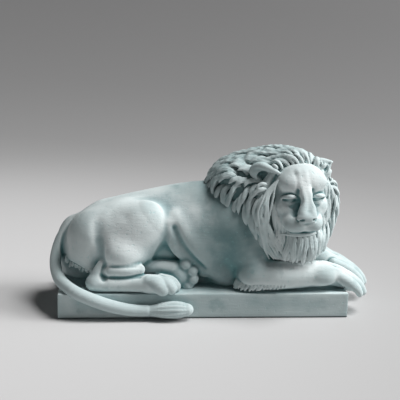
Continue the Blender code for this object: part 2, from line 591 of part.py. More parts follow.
def mane(clay, mass):
    chance = np.random.RandomState(5)
    roots = hair_roots(mass, clay)
    right, ahead, up = from_head(roots)
    hanging = np.clip((4 - up) / 22, 0, 1)
    fine = np.clip(1.9 - np.hypot(right / 31, (up + 4) / 25),
                   0, 0.8) / 0.8 * np.clip((ahead + 12) / 10, 0, 1)
    width = LOCK_WIDTH * (1 - 0.35 * np.maximum(hanging, fine)) * chance.uniform(0.8, 1.25, len(roots))
    kept = spaced(roots, unit(hair_flow(roots)), 1.7 * width)
    roots, hanging, width, fine = roots[kept], hanging[kept], width[kept], fine[kept]
    length = LOCK_LENGTH * (1 + 0.7 * hanging) * (0.5 + 0.5 * width / width.mean())
    length = length + chance.uniform(-2, 2, len(kept))
    rise = LOCK_RISE * (1 - 0.4 * np.maximum(hanging, fine))
    curl = (1 - 0.7 * hanging) * chance.choice([0.5, 1.0, 1.6], len(kept))
    paths, normals = comb(mass, roots, length, curl, chance.uniform(-0.3, 0.3, len(kept)))
    for path, normal, wide, tall in zip(paths[::-1], normals[::-1], width[::-1], rise[::-1]):
        shown = clear_of_ears(path, normal)
        for strand in lock(*shown, wide, tall) if shown else ():
            clay.add(strand, 0.35)


def beard(clay):
    """The locks that hang under the chin, those on the cheeks, and the long strands that frame the face."""
    chance = np.random.RandomState(9)
    for count, half, ahead, up, drop, wide in ((10, 20, 3.6, -31, 26, 2.9), (7, 13, 7.2, -32.5, 25, 2.7)):
        for side in np.linspace(-half, half, count) + chance.uniform(-0.6, 0.6, count):
            top = face(side, ahead - 0.02 * side**2, up + 0.012 * side**2)
            length = drop * (1 - 0.2 * (side / 20) ** 2) + 0.012 * side**2 + chance.uniform(-2.5, 2.5)
            sway, phase = chance.uniform(0.8, 1.8), chance.uniform(0, 6)
            t = np.linspace(0, 1, 11)
            path = top + np.column_stack([0.1 * side * t + sway * np.sin(6 * t + phase) * t**0.5,
                                          2 * t - 2.6 * np.sin(math.pi * t), -length * t])
            facing = np.tile(unit(np.array([0.03 * side, -1, 0])), (len(t), 1))
            for strand in lock(path, facing, wide, 0.5):
                clay.add(strand, 0.3)
    for s in (-1, 1):
        for k in range(8):
            out, high = 24.5 - 2.0 * k, -4 - 3.9 * k
            sway = chance.uniform(-0.9, 0.9, 3)
            clay.add(face_limb([(s * out, -10.5 + 2.0 * k, high, 0.7),
                                (s * (out + 0.8) + sway[0], -7.5 + 1.6 * k, high - 6, 1.3),
                                (s * out + sway[1], -6 + 1.4 * k, high - 13, 1.5),
                                (s * (out - 1.4) + sway[2], -5 + 1.2 * k, high - 21, 1.4),
                                (s * (out - 2.4), -4.5 + k, high - 28, 0.7)]), 0.5)
    near_rows = ((-16.5, -12.5, 13, 0.7), (-22.5, -9.5, 6, 0.9), (-26.5, -6, -3, 1), (-28.5, -4, -15, 1),
                 (-28.0, -2.5, -27, 1), (-26.0, -0.2, -38, 1), (-21.5, 1.4, -47, 0.9),
                 (-16.5, 0.6, -56, 0.5))
    far_rows = ((13, -16, 16, 0.7), (18.5, -13.5, 8, 0.9), (20.5, -11, -3, 1), (22, -10, -15, 1),
                (22, -9.5, -27, 0.9), (16, -8, -40, 0.5))
    for s, rows in ((-1, near_rows), (1, far_rows)):
        for out in np.arange(0, 11, FRAMING_GAP):
            r, phase = 0.43 * FRAMING_GAP * chance.uniform(0.8, 1.15), chance.uniform(0, 6)
            turns = chance.uniform(1.5, 2.3)
            strand = []
            for k, (side, ahead, up, thick) in enumerate(rows):
                wave = 1.0 * math.sin(turns * k + phase) * min(k / 2, 1)
                strand.append((side + s * 0.9 * out + wave, ahead + 0.5 * wave,
                               up - 0.03 * out * max(14 + up, 0), thick * r))
            clay.add(face_limb(strand), 0.3)
    clay.add(face_limb([(-36, -8, -31, 2.0), (-32, -5, -38, 3.0), (-27, -3, -45, 3.8),
                        (-21, -2.5, -52, 4.0), (-17, -3, -57, 2.2)]), 1)


def lion(step, room=None):
    end, front = PLINTH_LENGTH / 2 / UNIT, PLINTH_DEPTH / 2 / UNIT
    if room is None:
        room = (-max(end, 120) - 14, -max(front, 58) - 14, -PLINTH_HEIGHT / UNIT - 2), (160, 54, 128)
    clay = Clay(*room, step)
    for form in (body, far_haunch, flank, near_haunch, near_foreleg, far_foreleg, recess_under_rump,
                 near_hind_foot, far_hind_foot):
        form(clay)
    mass = Clay(*room, step)
    mane_mass(mass)
    hair = Clay(*room, step)
    hair.field = mass.field + LOCK_BED
    skull(clay)
    eyes(clay)
    mouth(clay)
    mane(hair, mass)
    clay.merge(hair, 1)
    beard(clay)
    ears(clay)
    tail(clay)
    return clay


# The casting

def plaster():
    material = bpy.data.materials.new("plaster")
    material.use_nodes = True
    shader = material.node_tree.nodes["Principled BSDF"]
    shader.inputs["Base Color"].default_value = PLASTER
    shader.inputs["Roughness"].default_value = 0.85
    return material


def plinth(collection):
    """The plinth as a box with softened edges, kept to be joined to the lion."""
    bpy.ops.mesh.primitive_cube_add(size=1, location=(0, 0, PLINTH_HEIGHT / 2))
    box = bpy.context.object
    box.name = "plinth_box"
    box.scale = (PLINTH_LENGTH, PLINTH_DEPTH, PLINTH_HEIGHT)
    bpy.ops.object.transform_apply(location=False, rotation=False, scale=True)
    edges = box.modifiers.new("softened edges", "BEVEL")
    edges.width = PLINTH_EDGE
    edges.segments = 1
    box.hide_render = True
    box.display_type = "WIRE"
    for other in box.users_collection:
        other.objects.unlink(box)
    collection.objects.link(box)
    return box


def clay_mesh(name, clay):
    points, quads = clay.skin()
    points = points * UNIT + np.array([0, 0, PLINTH_HEIGHT])
    mesh = bpy.data.meshes.new(name)
    mesh.from_pydata(points.tolist(), [], quads.tolist())
    return mesh


def evaluated_mesh(thing):
    return bpy.data.meshes.new_from_object(thing.evaluated_get(bpy.context.evaluated_depsgraph_get()))


def main():
    for old in list(bpy.data.objects):
        bpy.data.objects.remove(old)
    parts = bpy.data.collections.new("lion_figurine")
    cutters = bpy.data.collections.new("cutters")
    bpy.context.scene.collection.children.link(parts)
    bpy.context.scene.collection.children.link(cutters)
    box = plinth(cutters)

    casting = bpy.data.objects.new("lion_on_plinth", clay_mesh("lion_on_plinth", lion(GRID)))
    parts.objects.link(casting)
    whole = casting.modifiers.new("one closed skin", "REMESH")
    whole.mode = "VOXEL"
    whole.voxel_size = GRID * UNIT
    casting.data = evaluated_mesh(casting)
    casting.modifiers.clear()
    facets = casting.modifiers.new("facets", "DECIMATE")
    facets.ratio = FACES / sum(len(face.vertices) - 2 for face in casting.data.polygons)
    casting.data = evaluated_mesh(casting)
    casting.modifiers.clear()

    casting.data.materials.append(plaster())
    casting.data.shade_smooth()
    casting.data.set_sharp_from_angle(angle=math.radians(50))
    join = casting.modifiers.new("cast with the plinth", "BOOLEAN")
    join.operation = "UNION"
    join.solver = "EXACT"
    join.object = box


main()
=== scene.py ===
"""The plaster lion figurine as photographed: the same modelled forms as its solid, skinned finer, with the
strands of its locks, in pale blue-green plaster that is darker and greener in the hollows.

The pieces are parts of one casting, kept apart only so that each has a fine enough mesh.
"""

import math

import bmesh
import bpy
import numpy as np
from mathutils import Matrix, Vector


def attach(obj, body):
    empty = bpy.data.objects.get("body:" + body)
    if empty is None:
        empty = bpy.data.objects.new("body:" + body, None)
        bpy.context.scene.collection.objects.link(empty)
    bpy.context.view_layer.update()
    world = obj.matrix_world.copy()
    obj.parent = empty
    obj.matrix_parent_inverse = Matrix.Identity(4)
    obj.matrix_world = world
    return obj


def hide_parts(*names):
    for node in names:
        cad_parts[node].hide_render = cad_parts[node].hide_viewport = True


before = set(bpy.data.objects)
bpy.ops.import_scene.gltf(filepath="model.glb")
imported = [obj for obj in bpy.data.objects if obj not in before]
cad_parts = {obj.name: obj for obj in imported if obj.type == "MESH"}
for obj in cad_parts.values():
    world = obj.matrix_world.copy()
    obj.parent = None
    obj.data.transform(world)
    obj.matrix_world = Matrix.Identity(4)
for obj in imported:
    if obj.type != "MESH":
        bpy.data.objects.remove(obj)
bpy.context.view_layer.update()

# Driving sizes, in metres
PLINTH_LENGTH = 0.240
PLINTH_DEPTH = 0.095
PLINTH_HEIGHT = 0.021
PLINTH_EDGE = 0.0008  # width of the softened edges
FIGURE_LENGTH = 0.270  # from the tail's root to the far forepaw's tip
TAIL_RADIUS = 0.0052
TAIL_FOOT_GAP = 0.002  # from the surface that the plinth stands on up to the tail's tuft

# The figure's pose and proportions are in its own units, 270 to its length, measured from the
# middle of the plinth's top
UNIT = FIGURE_LENGTH / 270
PLINTH_TOP = np.array([0, 0, PLINTH_HEIGHT])
# The plinth's tail end, front face and height, the tail's radius and the gap under it, in units
END, FRONT, HEIGHT = -PLINTH_LENGTH / 2 / UNIT, -PLINTH_DEPTH / 2 / UNIT, PLINTH_HEIGHT / UNIT
TAIL, GAP = TAIL_RADIUS / UNIT, TAIL_FOOT_GAP / UNIT

# The clay's grids in units, and the most triangles that a piece keeps
ROUGH_GRID = 1.3  # the mane's locks are laid out on it
BODY_GRID, HEAD_GRID, MANE_GRID = 0.75, 0.5, 0.62
BODY_FACETS, HEAD_FACETS, MANE_FACETS = 190000, 150000, 195000

# The head's frame: its middle between the eyes, turned in degrees about X, Y and Z
EYES = np.array([78.9, -47.0, 83.2])
HEAD_TURN = (11, -1, 9)

# Locks of the mane, in units
LOCK_WIDTH = 2.7
LOCK_LENGTH = 16.0
LOCK_RISE = 4.0
LOCK_BED = 2.8  # from the mane's outer form down to the bed between the locks
LOCK_OVERLAP = 1.8  # how much further apart they are along the hair than across it
# Its lower edge on the flanks, along and up
MANE_EDGE = (-6, 92), (6, 86), (17, 66), (30, 49), (46, 38), (64, 22)
STRANDS = 3  # side by side in a lock
STRAND_WIDTH = 1.16  # of a strand to its share of the lock
STRAND_DEPTH = 1.45  # of a strand's thickness to its width
FRAMING_GAP = 2.4  # between the long strands round the face

UP = np.array([0, 0, 1])
OPEN_SPACE = 1000.0  # the field's value before any clay is added


# Vectors

def rotation(turn):
    """A 3x3 matrix that turns by degrees about X, then Y, then Z."""
    a, b, c = (math.radians(t) for t in turn)
    about_x = np.array([[1, 0, 0], [0, math.cos(a), -math.sin(a)], [0, math.sin(a), math.cos(a)]])
    about_y = np.array([[math.cos(b), 0, math.sin(b)], [0, 1, 0], [-math.sin(b), 0, math.cos(b)]])
    about_z = np.array([[math.cos(c), -math.sin(c), 0], [math.sin(c), math.cos(c), 0], [0, 0, 1]])
    return about_z @ about_y @ about_x


def unit(vectors):
    return vectors / (np.linalg.norm(vectors, axis=-1, keepdims=True) + 1e-9)


def smooth_path(rows, per_span=4):
    """A Catmull-Rom curve through rows of numbers, so that a radius can ride along with its point."""
    rows = np.asarray(rows, float)
    if len(rows) < 3:
        return rows
    ends = np.vstack([2 * rows[0] - rows[1], rows, 2 * rows[-1] - rows[-2]])
    path = []
    for a, b, c, d in zip(ends, ends[1:], ends[2:], ends[3:]):
        for t in np.arange(per_span) / per_span:
            cubic = (3 * b - a - 3 * c + d) * t**3 + (2 * a - 5 * b + 4 * c - d) * t**2
            path.append(b + 0.5 * ((c - a) * t + cubic))
    path.append(rows[-1])
    return np.array(path)


# Clay

class Ball:
    """An ellipsoid, turned by degrees about X, Y and Z or by a matrix."""

    def __init__(self, centre, radii, turn=(0, 0, 0)):
        self.centre = np.asarray(centre, float)
        self.radii = np.broadcast_to(np.asarray(radii, float), 3)
        self.axes = turn if isinstance(turn, np.ndarray) else rotation(turn)
        reach = np.sqrt(((self.axes * self.radii) ** 2).sum(1))
        self.low, self.high = self.centre - reach, self.centre + reach

    def distance(self, x, y, z):
        x, y, z = x - self.centre[0], y - self.centre[1], z - self.centre[2]
        scaled, slope = 0, 0
        for i in range(3):
            along = x * self.axes[0, i] + y * self.axes[1, i] + z * self.axes[2, i]
            scaled = scaled + (along / self.radii[i]) ** 2
            slope = slope + (along / self.radii[i] ** 2) ** 2
        scaled, slope = np.sqrt(scaled), np.sqrt(slope)
        return scaled * (scaled - 1) / (slope + 1e-6)


class Limb:
    """A tapering limb along rows of (x, y, z, radius); squash is (axis, ratio) and flattens it."""

    def __init__(self, rows, squash=None, per_span=4):
        rows = smooth_path(rows, per_span)
        self.path, self.radii = rows[:, :3], rows[:, 3]
        widest = self.radii.max()
        self.low, self.high = self.path.min(0) - widest, self.path.max(0) + widest
        self.press = None
        if squash is not None:
            axis = unit(np.asarray(squash[0], float))
            self.press = np.eye(3) + (1 / squash[1] - 1) * np.outer(axis, axis)

    def distance(self, x, y, z):
        path = self.path
        if self.press is not None:
            m = self.press
            x, y, z = (m[i, 0] * x + m[i, 1] * y + m[i, 2] * z for i in range(3))
            path = path @ m.T
        nearest = OPEN_SPACE
        for a, b, start, end in zip(path[:-1], path[1:], self.radii[:-1], self.radii[1:]):
            ab = b - a
            dx, dy, dz = x - a[0], y - a[1], z - a[2]
            t = np.clip((dx * ab[0] + dy * ab[1] + dz * ab[2]) / max(ab @ ab, 1e-9), 0, 1)
            away = np.sqrt((dx - t * ab[0]) ** 2 + (dy - t * ab[1]) ** 2 + (dz - t * ab[2]) ** 2)
            nearest = np.minimum(nearest, away - (start + (end - start) * t))
        return nearest


class Clay:
    """A distance field on a grid: negative inside the clay, positive outside."""

    def __init__(self, low, high, step):
        self.low, self.step = np.asarray(low, float), step
        count = np.ceil((np.asarray(high, float) - self.low) / step).astype(int) + 1
        self.axes = [(self.low[i] + step * np.arange(count[i])).astype(np.float32) for i in range(3)]
        self.field = np.full(count, OPEN_SPACE, np.float32)

    def like(self, field):
        """Another field over the same room."""
        made = Clay(self.low, self.low, self.step)
        made.axes, made.field = self.axes, field
        return made

    def top(self):
        return self.low + self.step * (np.array(self.field.shape) - 1)

    def window(self, shape, margin):
        """The part of the grid around a shape, as slices and as x, y and z."""
        cut = []
        for axis, low, high in zip(self.axes, shape.low - margin, shape.high + margin):
            start = int(np.searchsorted(axis, low))
            cut.append(slice(start, max(int(np.searchsorted(axis, high)), start + 1)))
        x, y, z = (axis[c] for axis, c in zip(self.axes, cut))
        return tuple(cut), x[:, None, None], y[None, :, None], z[None, None, :]

    def add(self, shape, blend, sign=1):
        """Adds a mass, with a fillet of about the blend where it meets the clay."""
        cut, x, y, z = self.window(shape, blend + 3 * self.step)
        self.field[cut] = sign * soft_min(sign * self.field[cut], shape.distance(x, y, z), blend)

    def cut(self, shape, blend):
        """Cuts a hollow, with its edge rounded by about the blend."""
        self.add(shape, blend, -1)

    def stroke(self, points, height, width):
        """Raises the skin along a path, or presses it in where the height is below zero."""
        path = Limb([(*point, 0) for point in points])
        cut, x, y, z = self.window(path, 2.2 * width)
        away = path.distance(x, y, z) / width
        self.field[cut] -= height * np.exp(-away * away)

    def sample(self, points):
        """The field at points, between the grid's values."""
        place = (points - self.low) / self.step
        cell = np.clip(np.floor(place).astype(int), 0, np.array(self.field.shape) - 2)
        share = np.clip(place - cell, 0, 1)
        total = 0
        for corner in np.ndindex(2, 2, 2):
            weight = np.prod(np.where(corner, share, 1 - share), axis=-1)
            total = total + weight * self.field[tuple((cell + corner).T)]
        return total

    def normal(self, points):
        """The outward direction at points."""
        h = 1.5 * self.step
        slope = [self.sample(points + h * e) - self.sample(points - h * e) for e in np.eye(3)]
        return unit(np.stack(slope, -1))

    def settle(self, points):
        """Points near the skin, moved onto it."""
        for _ in range(3):
            points = points - self.normal(points) * np.clip(self.sample(points), -3, 3)[:, None]
        return points

    def cast(self, origin, rays, reach):
        """The outermost point of the clay along each ray, or nan where the ray misses it."""
        found = np.full(len(rays), np.nan)
        for t in np.arange(reach, 5, -1.0):
            hit = np.isnan(found) & (self.sample(origin + rays * t) < 0)
            found[hit] = t
        return origin + rays * found[:, None]

    def skin(self):
        """(points, quads) of the surface, with one point in each cell that the surface crosses."""
        field, inside = self.field, self.field < 0
        corners = np.lib.stride_tricks.sliding_window_view(inside, (2, 2, 2))
        mixed = corners.any((3, 4, 5)) & ~corners.all((3, 4, 5))
        cells, ways = np.argwhere(mixed), np.eye(3, dtype=int)
        number = np.full(mixed.shape, -1, np.int64)
        number[mixed] = np.arange(len(cells))

        total, crossings = np.zeros((len(cells), 3)), np.zeros(len(cells))
        for s in np.ndindex(2, 2, 2):
            for axis in np.flatnonzero(np.array(s) == 0):
                a = field[tuple((cells + s).T)].astype(float)
                b = field[tuple((cells + s + ways[axis]).T)].astype(float)
                crossed = (a < 0) != (b < 0)
                place = np.repeat(np.array([s], float), len(cells), 0)
                place[:, axis] = np.where(crossed, a / np.where(crossed, a - b, 1), 0)
                total += place * crossed[:, None]
                crossings += crossed
        points = self.low + self.step * (cells + total / crossings[:, None])

        quads = []
        for axis in range(3):
            at = np.argwhere(np.diff(inside, axis=axis))
            db, dc = ways[(axis + 1) % 3], ways[(axis + 2) % 3]
            quad = np.stack([number[tuple((at - o).T)] for o in (db + dc, dc, 0 * dc, db)], 1)
            turned = ~inside[tuple(at.T)]
            quad[turned] = quad[turned][:, ::-1]
            quads.append(quad)
        return points, np.vstack(quads)


def soft_min(a, b, blend):
    """The smaller of two fields, rounded off where they are closer than the blend."""
    h = np.maximum(blend - np.abs(a - b), 0) / blend
    return np.minimum(a, b) - h * h * blend / 4


# The body

def body(clay):
    clay.add(Limb([(-76, 2, 36, 33), (-45, 1, 40, 36.5), (-5, 0, 42.8, 41.5), (38, -2, 44, 42)],
                  squash=((0, 1, 0), 0.86), per_span=12), 1)
    clay.add(Ball((34, 0, 60), (34, 25, 27)), 12)
    clay.add(Ball((-91, 0, 30), (28, 24, 27)), 8)
    clay.add(Ball((-88, -14, 40), (25, 22, 24)), 6)
    clay.add(Ball((-94.5, -14, 26), (19.5, 20, 21)), 6)
    clay.add(Limb([(-24, -12, 11, 12), (8, -16, 12, 13), (34, -18, 12, 12)]), 8)


def far_haunch(clay):
    clay.add(Ball((-70, 20, 28), (34, 23, 32)), 8)
    clay.add(Limb([(-90, 16, 10, 12), (-62, 20, 10, 12), (-40, 12, 10, 11)]), 6)
    clay.add(Ball((-110, 13, 25), (14.5, 15, 25)), 12)
    clay.add(Ball((-112, 9, 14), (12.5, 12, 16)), 8)


def flank(clay):
    """The hollow in front of the thigh, and the folds of skin that hang from it to the belly."""
    clay.cut(Limb([(-35, -35, 43, 2.5), (-36, -32, 33, 7), (-33, -28, 21, 12), (-18, -26, 10, 14),
                   (-2, -28, 2, 12), (12, -33, -4, 8)]), 3)
    clay.add(Ball((-32, -12, 24), (17, 13.5, 24)), 3)
    clay.add(Limb([(-30, -30.5, 56, 2.2), (-28.5, -31, 43, 2.6), (-24, -30, 33, 3.2),
                   (-16.5, -28, 25, 3.6), (-9, -26, 18.5, 3.8), (0, -24, 12, 4)]), 3)
    clay.add(Limb([(-26, -27, 60, 4), (-15, -28, 43, 6), (-3, -26, 29, 7), (8, -22, 16, 8),
                   (20, -22, 7, 8)]), 8)
    clay.stroke([(-25.5, -34, 52), (-19, -34.5, 39), (-9, -32, 27), (1, -29, 18)], -2, 2.6)


def near_haunch(clay):
    clay.add(Ball((-65, -17, 43), (29, 20, 28)), 10)
    clay.add(Limb([(-71, -26, 34, 19), (-56, -26, 49, 20), (-49, -26.5, 55, 17.5)],
                  squash=((0, 1, 0), 0.8), per_span=12), 7)
    clay.add(Ball((-70, -27, 30), (21, 19, 17)), 6)
    clay.add(Limb([(-54.5, -39, 18.2, 4.8), (-66, -40.5, 18, 6), (-80, -39, 18, 6.4)]), 3)
    clay.stroke([(-90, -34, 62), (-89, -37, 49), (-86, -39, 37), (-87, -40, 25), (-93, -40, 14)], -2.8, 5)
    clay.stroke([(-88, -38, 42), (-86.5, -40, 32), (-88, -41, 22), (-94, -41, 13)], -2.6, 3)
    clay.stroke([(-53, -43, 21.6), (-66, -46, 22.4), (-79, -44.5, 22)], -1.2, 1.3)
    clay.stroke([(-88, -36, 64), (-76, -38, 65), (-67, -38, 63)], -1.2, 4)


def near_hind_foot(clay):
    clay.add(Limb([(-91, -40, 7.2, 6.8), (-82, -40.5, 6.8, 6.8), (-65, -41, 6.8, 6.8),
                   (-50, -42.5, 7.5, 7.3)]), 1.5)
    clay.add(Limb([(-91, -40, 8, 5.4), (-89.5, -39.5, 14, 4.2), (-87, -38.5, 20, 3.4),
                   (-84, -36.5, 24, 3.2)]), 3)
    clay.stroke([(-82.5, -43, 21), (-83, -45, 12)], -2.2, 2.4)
    clay.stroke([(-54, -46, 13.8), (-66, -46, 13.6), (-78, -45.5, 13.2)], -1.3, 1.2)
    clay.add(Ball((-42, -43, 7), (10, 8.5, 8)), 4)
    for x, y, size in ((0, -47.8, 6.6), (7, -46, 5.9), (10.5, -40.5, 5.7), (10, -34, 5.2)):
        clay.add(Limb([(x - 47, y + 2.4, 10, 0.8 * size), (x - 39.5, y, 7.6, size),
                       (x - 35.5, y - 0.4, 4.4, 0.86 * size)]), 0.7)


def far_hind_foot(clay):
    """It lies on its side under the belly, its sole turned to the viewer."""
    clay.add(Limb([(-60, -16, 13, 8), (-47, -24, 16, 6), (-35, -28, 17.4, 6), (-27, -29, 16.5, 6.5)]), 3)
    clay.add(Ball((-21, -27, 10), (11.5, 8.5, 12.3), (0, 20, 0)), 3)
    for x, z in ((-16, 20), (-10.4, 14.4), (-9.6, 7.4), (-13.6, 1.8)):
        clay.add(Ball((x, -29.5, z), (5.2, 6, 5)), 2)
    clay.add(Ball((-22.5, -33, 10.5), (6, 3.6, 6.8), (0, 16, 0)), 1.2)


def near_foreleg(clay):
    clay.add(Limb([(20, -17, 58, 19), (33, -26, 40, 15), (41, -33, 20, 12)]), 9)
    clay.add(Ball((42, -34, 11), (13, 10, 11)), 6)
    clay.add(Limb([(40, -36, 12, 11.5), (58, -38, 13, 12), (76, -37, 13, 11.3), (90, -36, 13.5, 10.4),
                   (99, -35, 14, 10)]), 5)
    clay.add(Limb([(96, -35, 14, 10), (108, -33, 12.5, 9.6), (118, -31, 8, 8.8), (124, -30, 4, 8.2)]), 4)
    for y, x in ((-38.5, -3), (-33.5, 1.5), (-27.5, 2), (-22, -1)):
        clay.add(Limb([(110 + x, y + 1, 14, 4.4), (121 + x, y, 9, 5.2), (130 + x, y - 0.5, 2.4, 5),
                       (134 + x, y - 0.5, -2.6, 3.9)]), 0.9)
    clay.add(Ball((99, -41, 12), (8, 4.5, 5)), 5)
    for y in (-37, -31.5, -26):
        clay.stroke([(96, 0.7 * y - 10.5, 24), (108, y, 20.5), (118, y + 1, 14.5)], -1, 1.5)
    clay.cut(Ball((112, -41, -6), (18, 14, 7.5)), 3)


def far_foreleg(clay):
    clay.add(Limb([(24, 20, 60, 20), (36, 26, 38, 15), (40, 28, 18, 12)]), 9)
    clay.add(Limb([(38, 29, 12, 12), (62, 25, 14, 12.3), (88, 18, 15, 11.5), (108, 11, 15.5, 10.3)]), 6)
    clay.add(Limb([(106, 12, 15.5, 10), (122, 8, 10, 9.4), (134, 5, 3.5, 8.4)]), 4)
    for y in (-1, 4.5, 10.5):
        clay.stroke([(106, 0.8 * y + 2.5, 26), (118, y + 1, 21), (129, y, 13)], -1, 1.5)
    for y, x in ((-3.5, -2), (1.5, 1.5), (7.5, 2), (13, -1)):
        clay.add(Limb([(120 + x, y + 1, 13, 4.4), (132 + x, y, 7, 5.2), (141 + x, y - 0.5, 0, 5),
                       (145 + x, y - 0.5, -5, 3.9)]), 0.9)


def recess_under_rump(clay):
    """The hollow between the rump, the near heel and the plinth, with the far leg dark inside it."""
    for y, r in ((-14, 13), (-28, 15)):
        clay.cut(Limb([(-138, y, 19, r), (-114, y - 1, 7, r), (-95, y - 4, -3, r)]), 2.5)
    clay.add(Ball((-99, 5, 4), (15, 12, 14)), 3)


def tail(clay):
    """From its root on the rump round the plinth's corner, then along the plinth's front face."""
    r, along = TAIL, FRONT - 0.78 * TAIL

    def low(x, y, radius, rise):
        """A row whose height is a share of the plinth's height above its lowest place."""
        return (END + x, y, radius + GAP + rise * HEIGHT - HEIGHT, radius)

    clay.add(Limb([(-103, 1, 50, 1.3 * r), (-112, 0, 43.5, 1.15 * r), (-119, -1, 36, 0.96 * r),
                   (END - 3.6, -5, 24, 0.9 * r), (END - 4, -14, 14, 0.92 * r), (END + 1, -31, 7, 0.96 * r),
                   low(12, FRONT + 1.5, r, 0.78), low(25, along + 0.5, r, 0.55), low(42.5, along, r, 0.25),
                   low(60, along, 0.94 * r, 0.09), low(77.5, along, 0.85 * r, 0.09)]), 1.5)
    clay.add(Limb([low(74, along, 0.8 * r, 0.10), low(85, along - 0.5, 1.27 * r, 0.01),
                   low(96, along - 0.5, 1.38 * r, 0), low(104, along, 1.04 * r, 0.08),
                   low(106.5, along, 0.6 * r, 0.18)]), 1.5)


def fur(clay):
    """Fringes of short locks under the rump and the elbow, and the grooves in the tail's tuft."""
    chance = np.random.RandomState(3)
    rump = (-112, -16, 24), (-106, -24, 17), (-97, -29, 13), (-88, -33, 10.5)
    elbow = (27, -36, 9), (34, -41, 7.5), (44, -45, 7), (55, -47, 7), (66, -47.5, 7.5)
    for path, count, hang in ((rump, 14, (-1.2, -1.5, -3.5)), (elbow, 17, (-2.6, -0.3, -4.4))):
        line = smooth_path(path, 12)
        roots = clay.settle(line[np.linspace(0, len(line) - 1, count).astype(int)])
        for root, size in zip(roots, np.linspace(1.15, 0.55, count)):
            hung = np.array(hang) * chance.uniform(0.75, 1.25) * size
            side = chance.uniform(-0.8, 0.8)
            clay.add(Limb([(*root, 1.3 * size), (*(root + 0.5 * hung + [side, 0, 0]), 1.4 * size),
                           (*(root + hung), 0.7 * size)]), 0.7)
    for turn in np.radians(range(-60, 150, 30)):
        rows = []
        for x, wide, rise in ((74, 0.84, 0.10), (85, 1.27, 0.01), (96, 1.38, 0), (104, 1.04, 0.08)):
            rows.append((END + x, FRONT - 0.78 * TAIL - 0.5 - wide * TAIL * math.cos(turn),
                         wide * TAIL * (1 + math.sin(turn)) + GAP + rise * HEIGHT - HEIGHT))
        clay.stroke(rows, -0.9, 1)


# The head

HEAD_AXES = rotation(HEAD_TURN)
RIGHT, AHEAD, CROWN = HEAD_AXES[:, 0], -HEAD_AXES[:, 1], HEAD_AXES[:, 2]


def face(side, ahead, up):
    """A place on the head, from between the eyes: to the viewer's right, ahead of the face and up."""
    return EYES + side * RIGHT + ahead * AHEAD + up * CROWN


def face_ball(place, radii, turn=(0, 0, 0)):
    return Ball(face(*place), radii, HEAD_AXES @ rotation(turn))


def face_limb(rows):
    return Limb([(*face(*row[:3]), row[3]) for row in rows])


def face_path(rows):
    return [face(*row) for row in rows]


HEAD_MIDDLE = face(0, -24, -2)
NEAR_EAR, FAR_EAR = face(-28.5, -20, 12.5), face(24, -24, 15)
EAR_ROOM = 8.2  # the hair keeps this far from an ear's middle
LEAN = -1.6  # how far the nose and muzzle lie towards the near cheek


def skull(clay):
    clay.add(face_ball((0, -21, -1), (22.8, 20, 22)), 4)
    clay.add(face_ball((0, -13.5, 8), (20, 9.5, 12.5), (-8, 0, 0)), 5)
    for s in (-1, 1):
        clay.add(face_ball((s * 13.6, -13, -17), (9.6, 11.5, 15)), 6)
        clay.add(face_ball((s * 10.6, -8.6, 6.6), (8.6, 4.8, 5.4), (0, -s * 12, 0)), 6)
        clay.add(face_ball((s * 13, -8.5, -12.5), (8.5, 8.5, 7)), 6)
        clay.add(face_limb([(s * 2.2 - 3, -9.6, 16, 2.4), (s * 2.2 - 2, -6, 8, 3.2),
                            (s * 2.2 - 0.6, -1.8, 2, 3.7), (s * 2.6, 2.2, -4, 4.1),
                            (s * 3.1 - 0.6, 6.6, -9.5, 4.5), (s * 3.6 - 1.2, 9.2, -12.2, 4.5)]), 2.6)
    clay.add(face_ball((LEAN, -1, -21.5), (16.2, 12.5, 9.4)), 6)
    for s in (-1, 1):
        clay.add(face_ball((s * 7.4 + LEAN, 4.6, -22.6), (9, 8.4, 7), (0, s * 10, 0)), 4)
    clay.add(face_ball((LEAN - 0.4, 11.6, -14.5), (8.8, 4.2, 4.3), (-18, 0, 0)), 1.6)
    clay.add(face_ball((LEAN, -3, -32.5), (14, 9.6, 4.6)), 3)
    clay.add(face_limb([(LEAN - 17, 0.4, -33, 0.9), (LEAN - 9, 6, -32, 1.3), (LEAN, 8.4, -31.4, 1.5),
                        (LEAN + 9, 6, -32, 1.3), (LEAN + 17, 0.4, -33, 0.9)]), 1.5)


def eyes(clay):
    """Deep-set and half closed: a socket, the ball, a heavy upper lid and a thin lower one."""
    for s in (-1, 1):
        clay.cut(face_ball((s * 11.8, 2.4, -3.4), (7, 5.6, 4.2)), 4)
        clay.add(face_ball((s * 11.8, -6.6, -4), (5.6, 5, 4.2)), 1)
        clay.add(face_limb([(s * 6, -3.4, -5, 1), (s * 8.6, -1.8, -2.4, 1.6),
                            (s * 13, -1.6, -1.6, 2), (s * 18, -5.2, -3.6, 1.4)]), 1.4)
        clay.add(face_limb([(s * 6.4, -3.2, -6, 0.9), (s * 10, -2.1, -7.4, 1.2),
                            (s * 14, -2.9, -7.2, 1.2), (s * 17.6, -6, -5.4, 0.9)]), 1.6)
        clay.stroke(face_path([(s * 6.2, -2.2, -5.2), (s * 10, -0.6, -4.6), (s * 14.2, -1.6, -4.4),
                               (s * 17.4, -4.8, -4.8)]), -1.7, 0.9)
        clay.stroke(face_path([(s * 5.4 - 2.6, -8, 15), (s * 5.8 - 1.6, -4.6, 9),
                               (s * 6.6 - 0.4, -2.2, 3)]), -0.55, 2)
        clay.stroke(face_path([(s * 6.6, -1.4, 3.6), (s * 6.7, -1, 1.6)]), -1.3, 1.5)
        clay.stroke(face_path([(s * 7.6, -0.5, -5), (s * 8.6, 3, -10.5), (s * 9.8, 5.5, -14)]), -2, 2.8)
        clay.stroke(face_path([(s * 10, 0, -9.8), (s * 14, -2, -10.4), (s * 18, -5.5, -8.4)]), -0.7, 1.6)


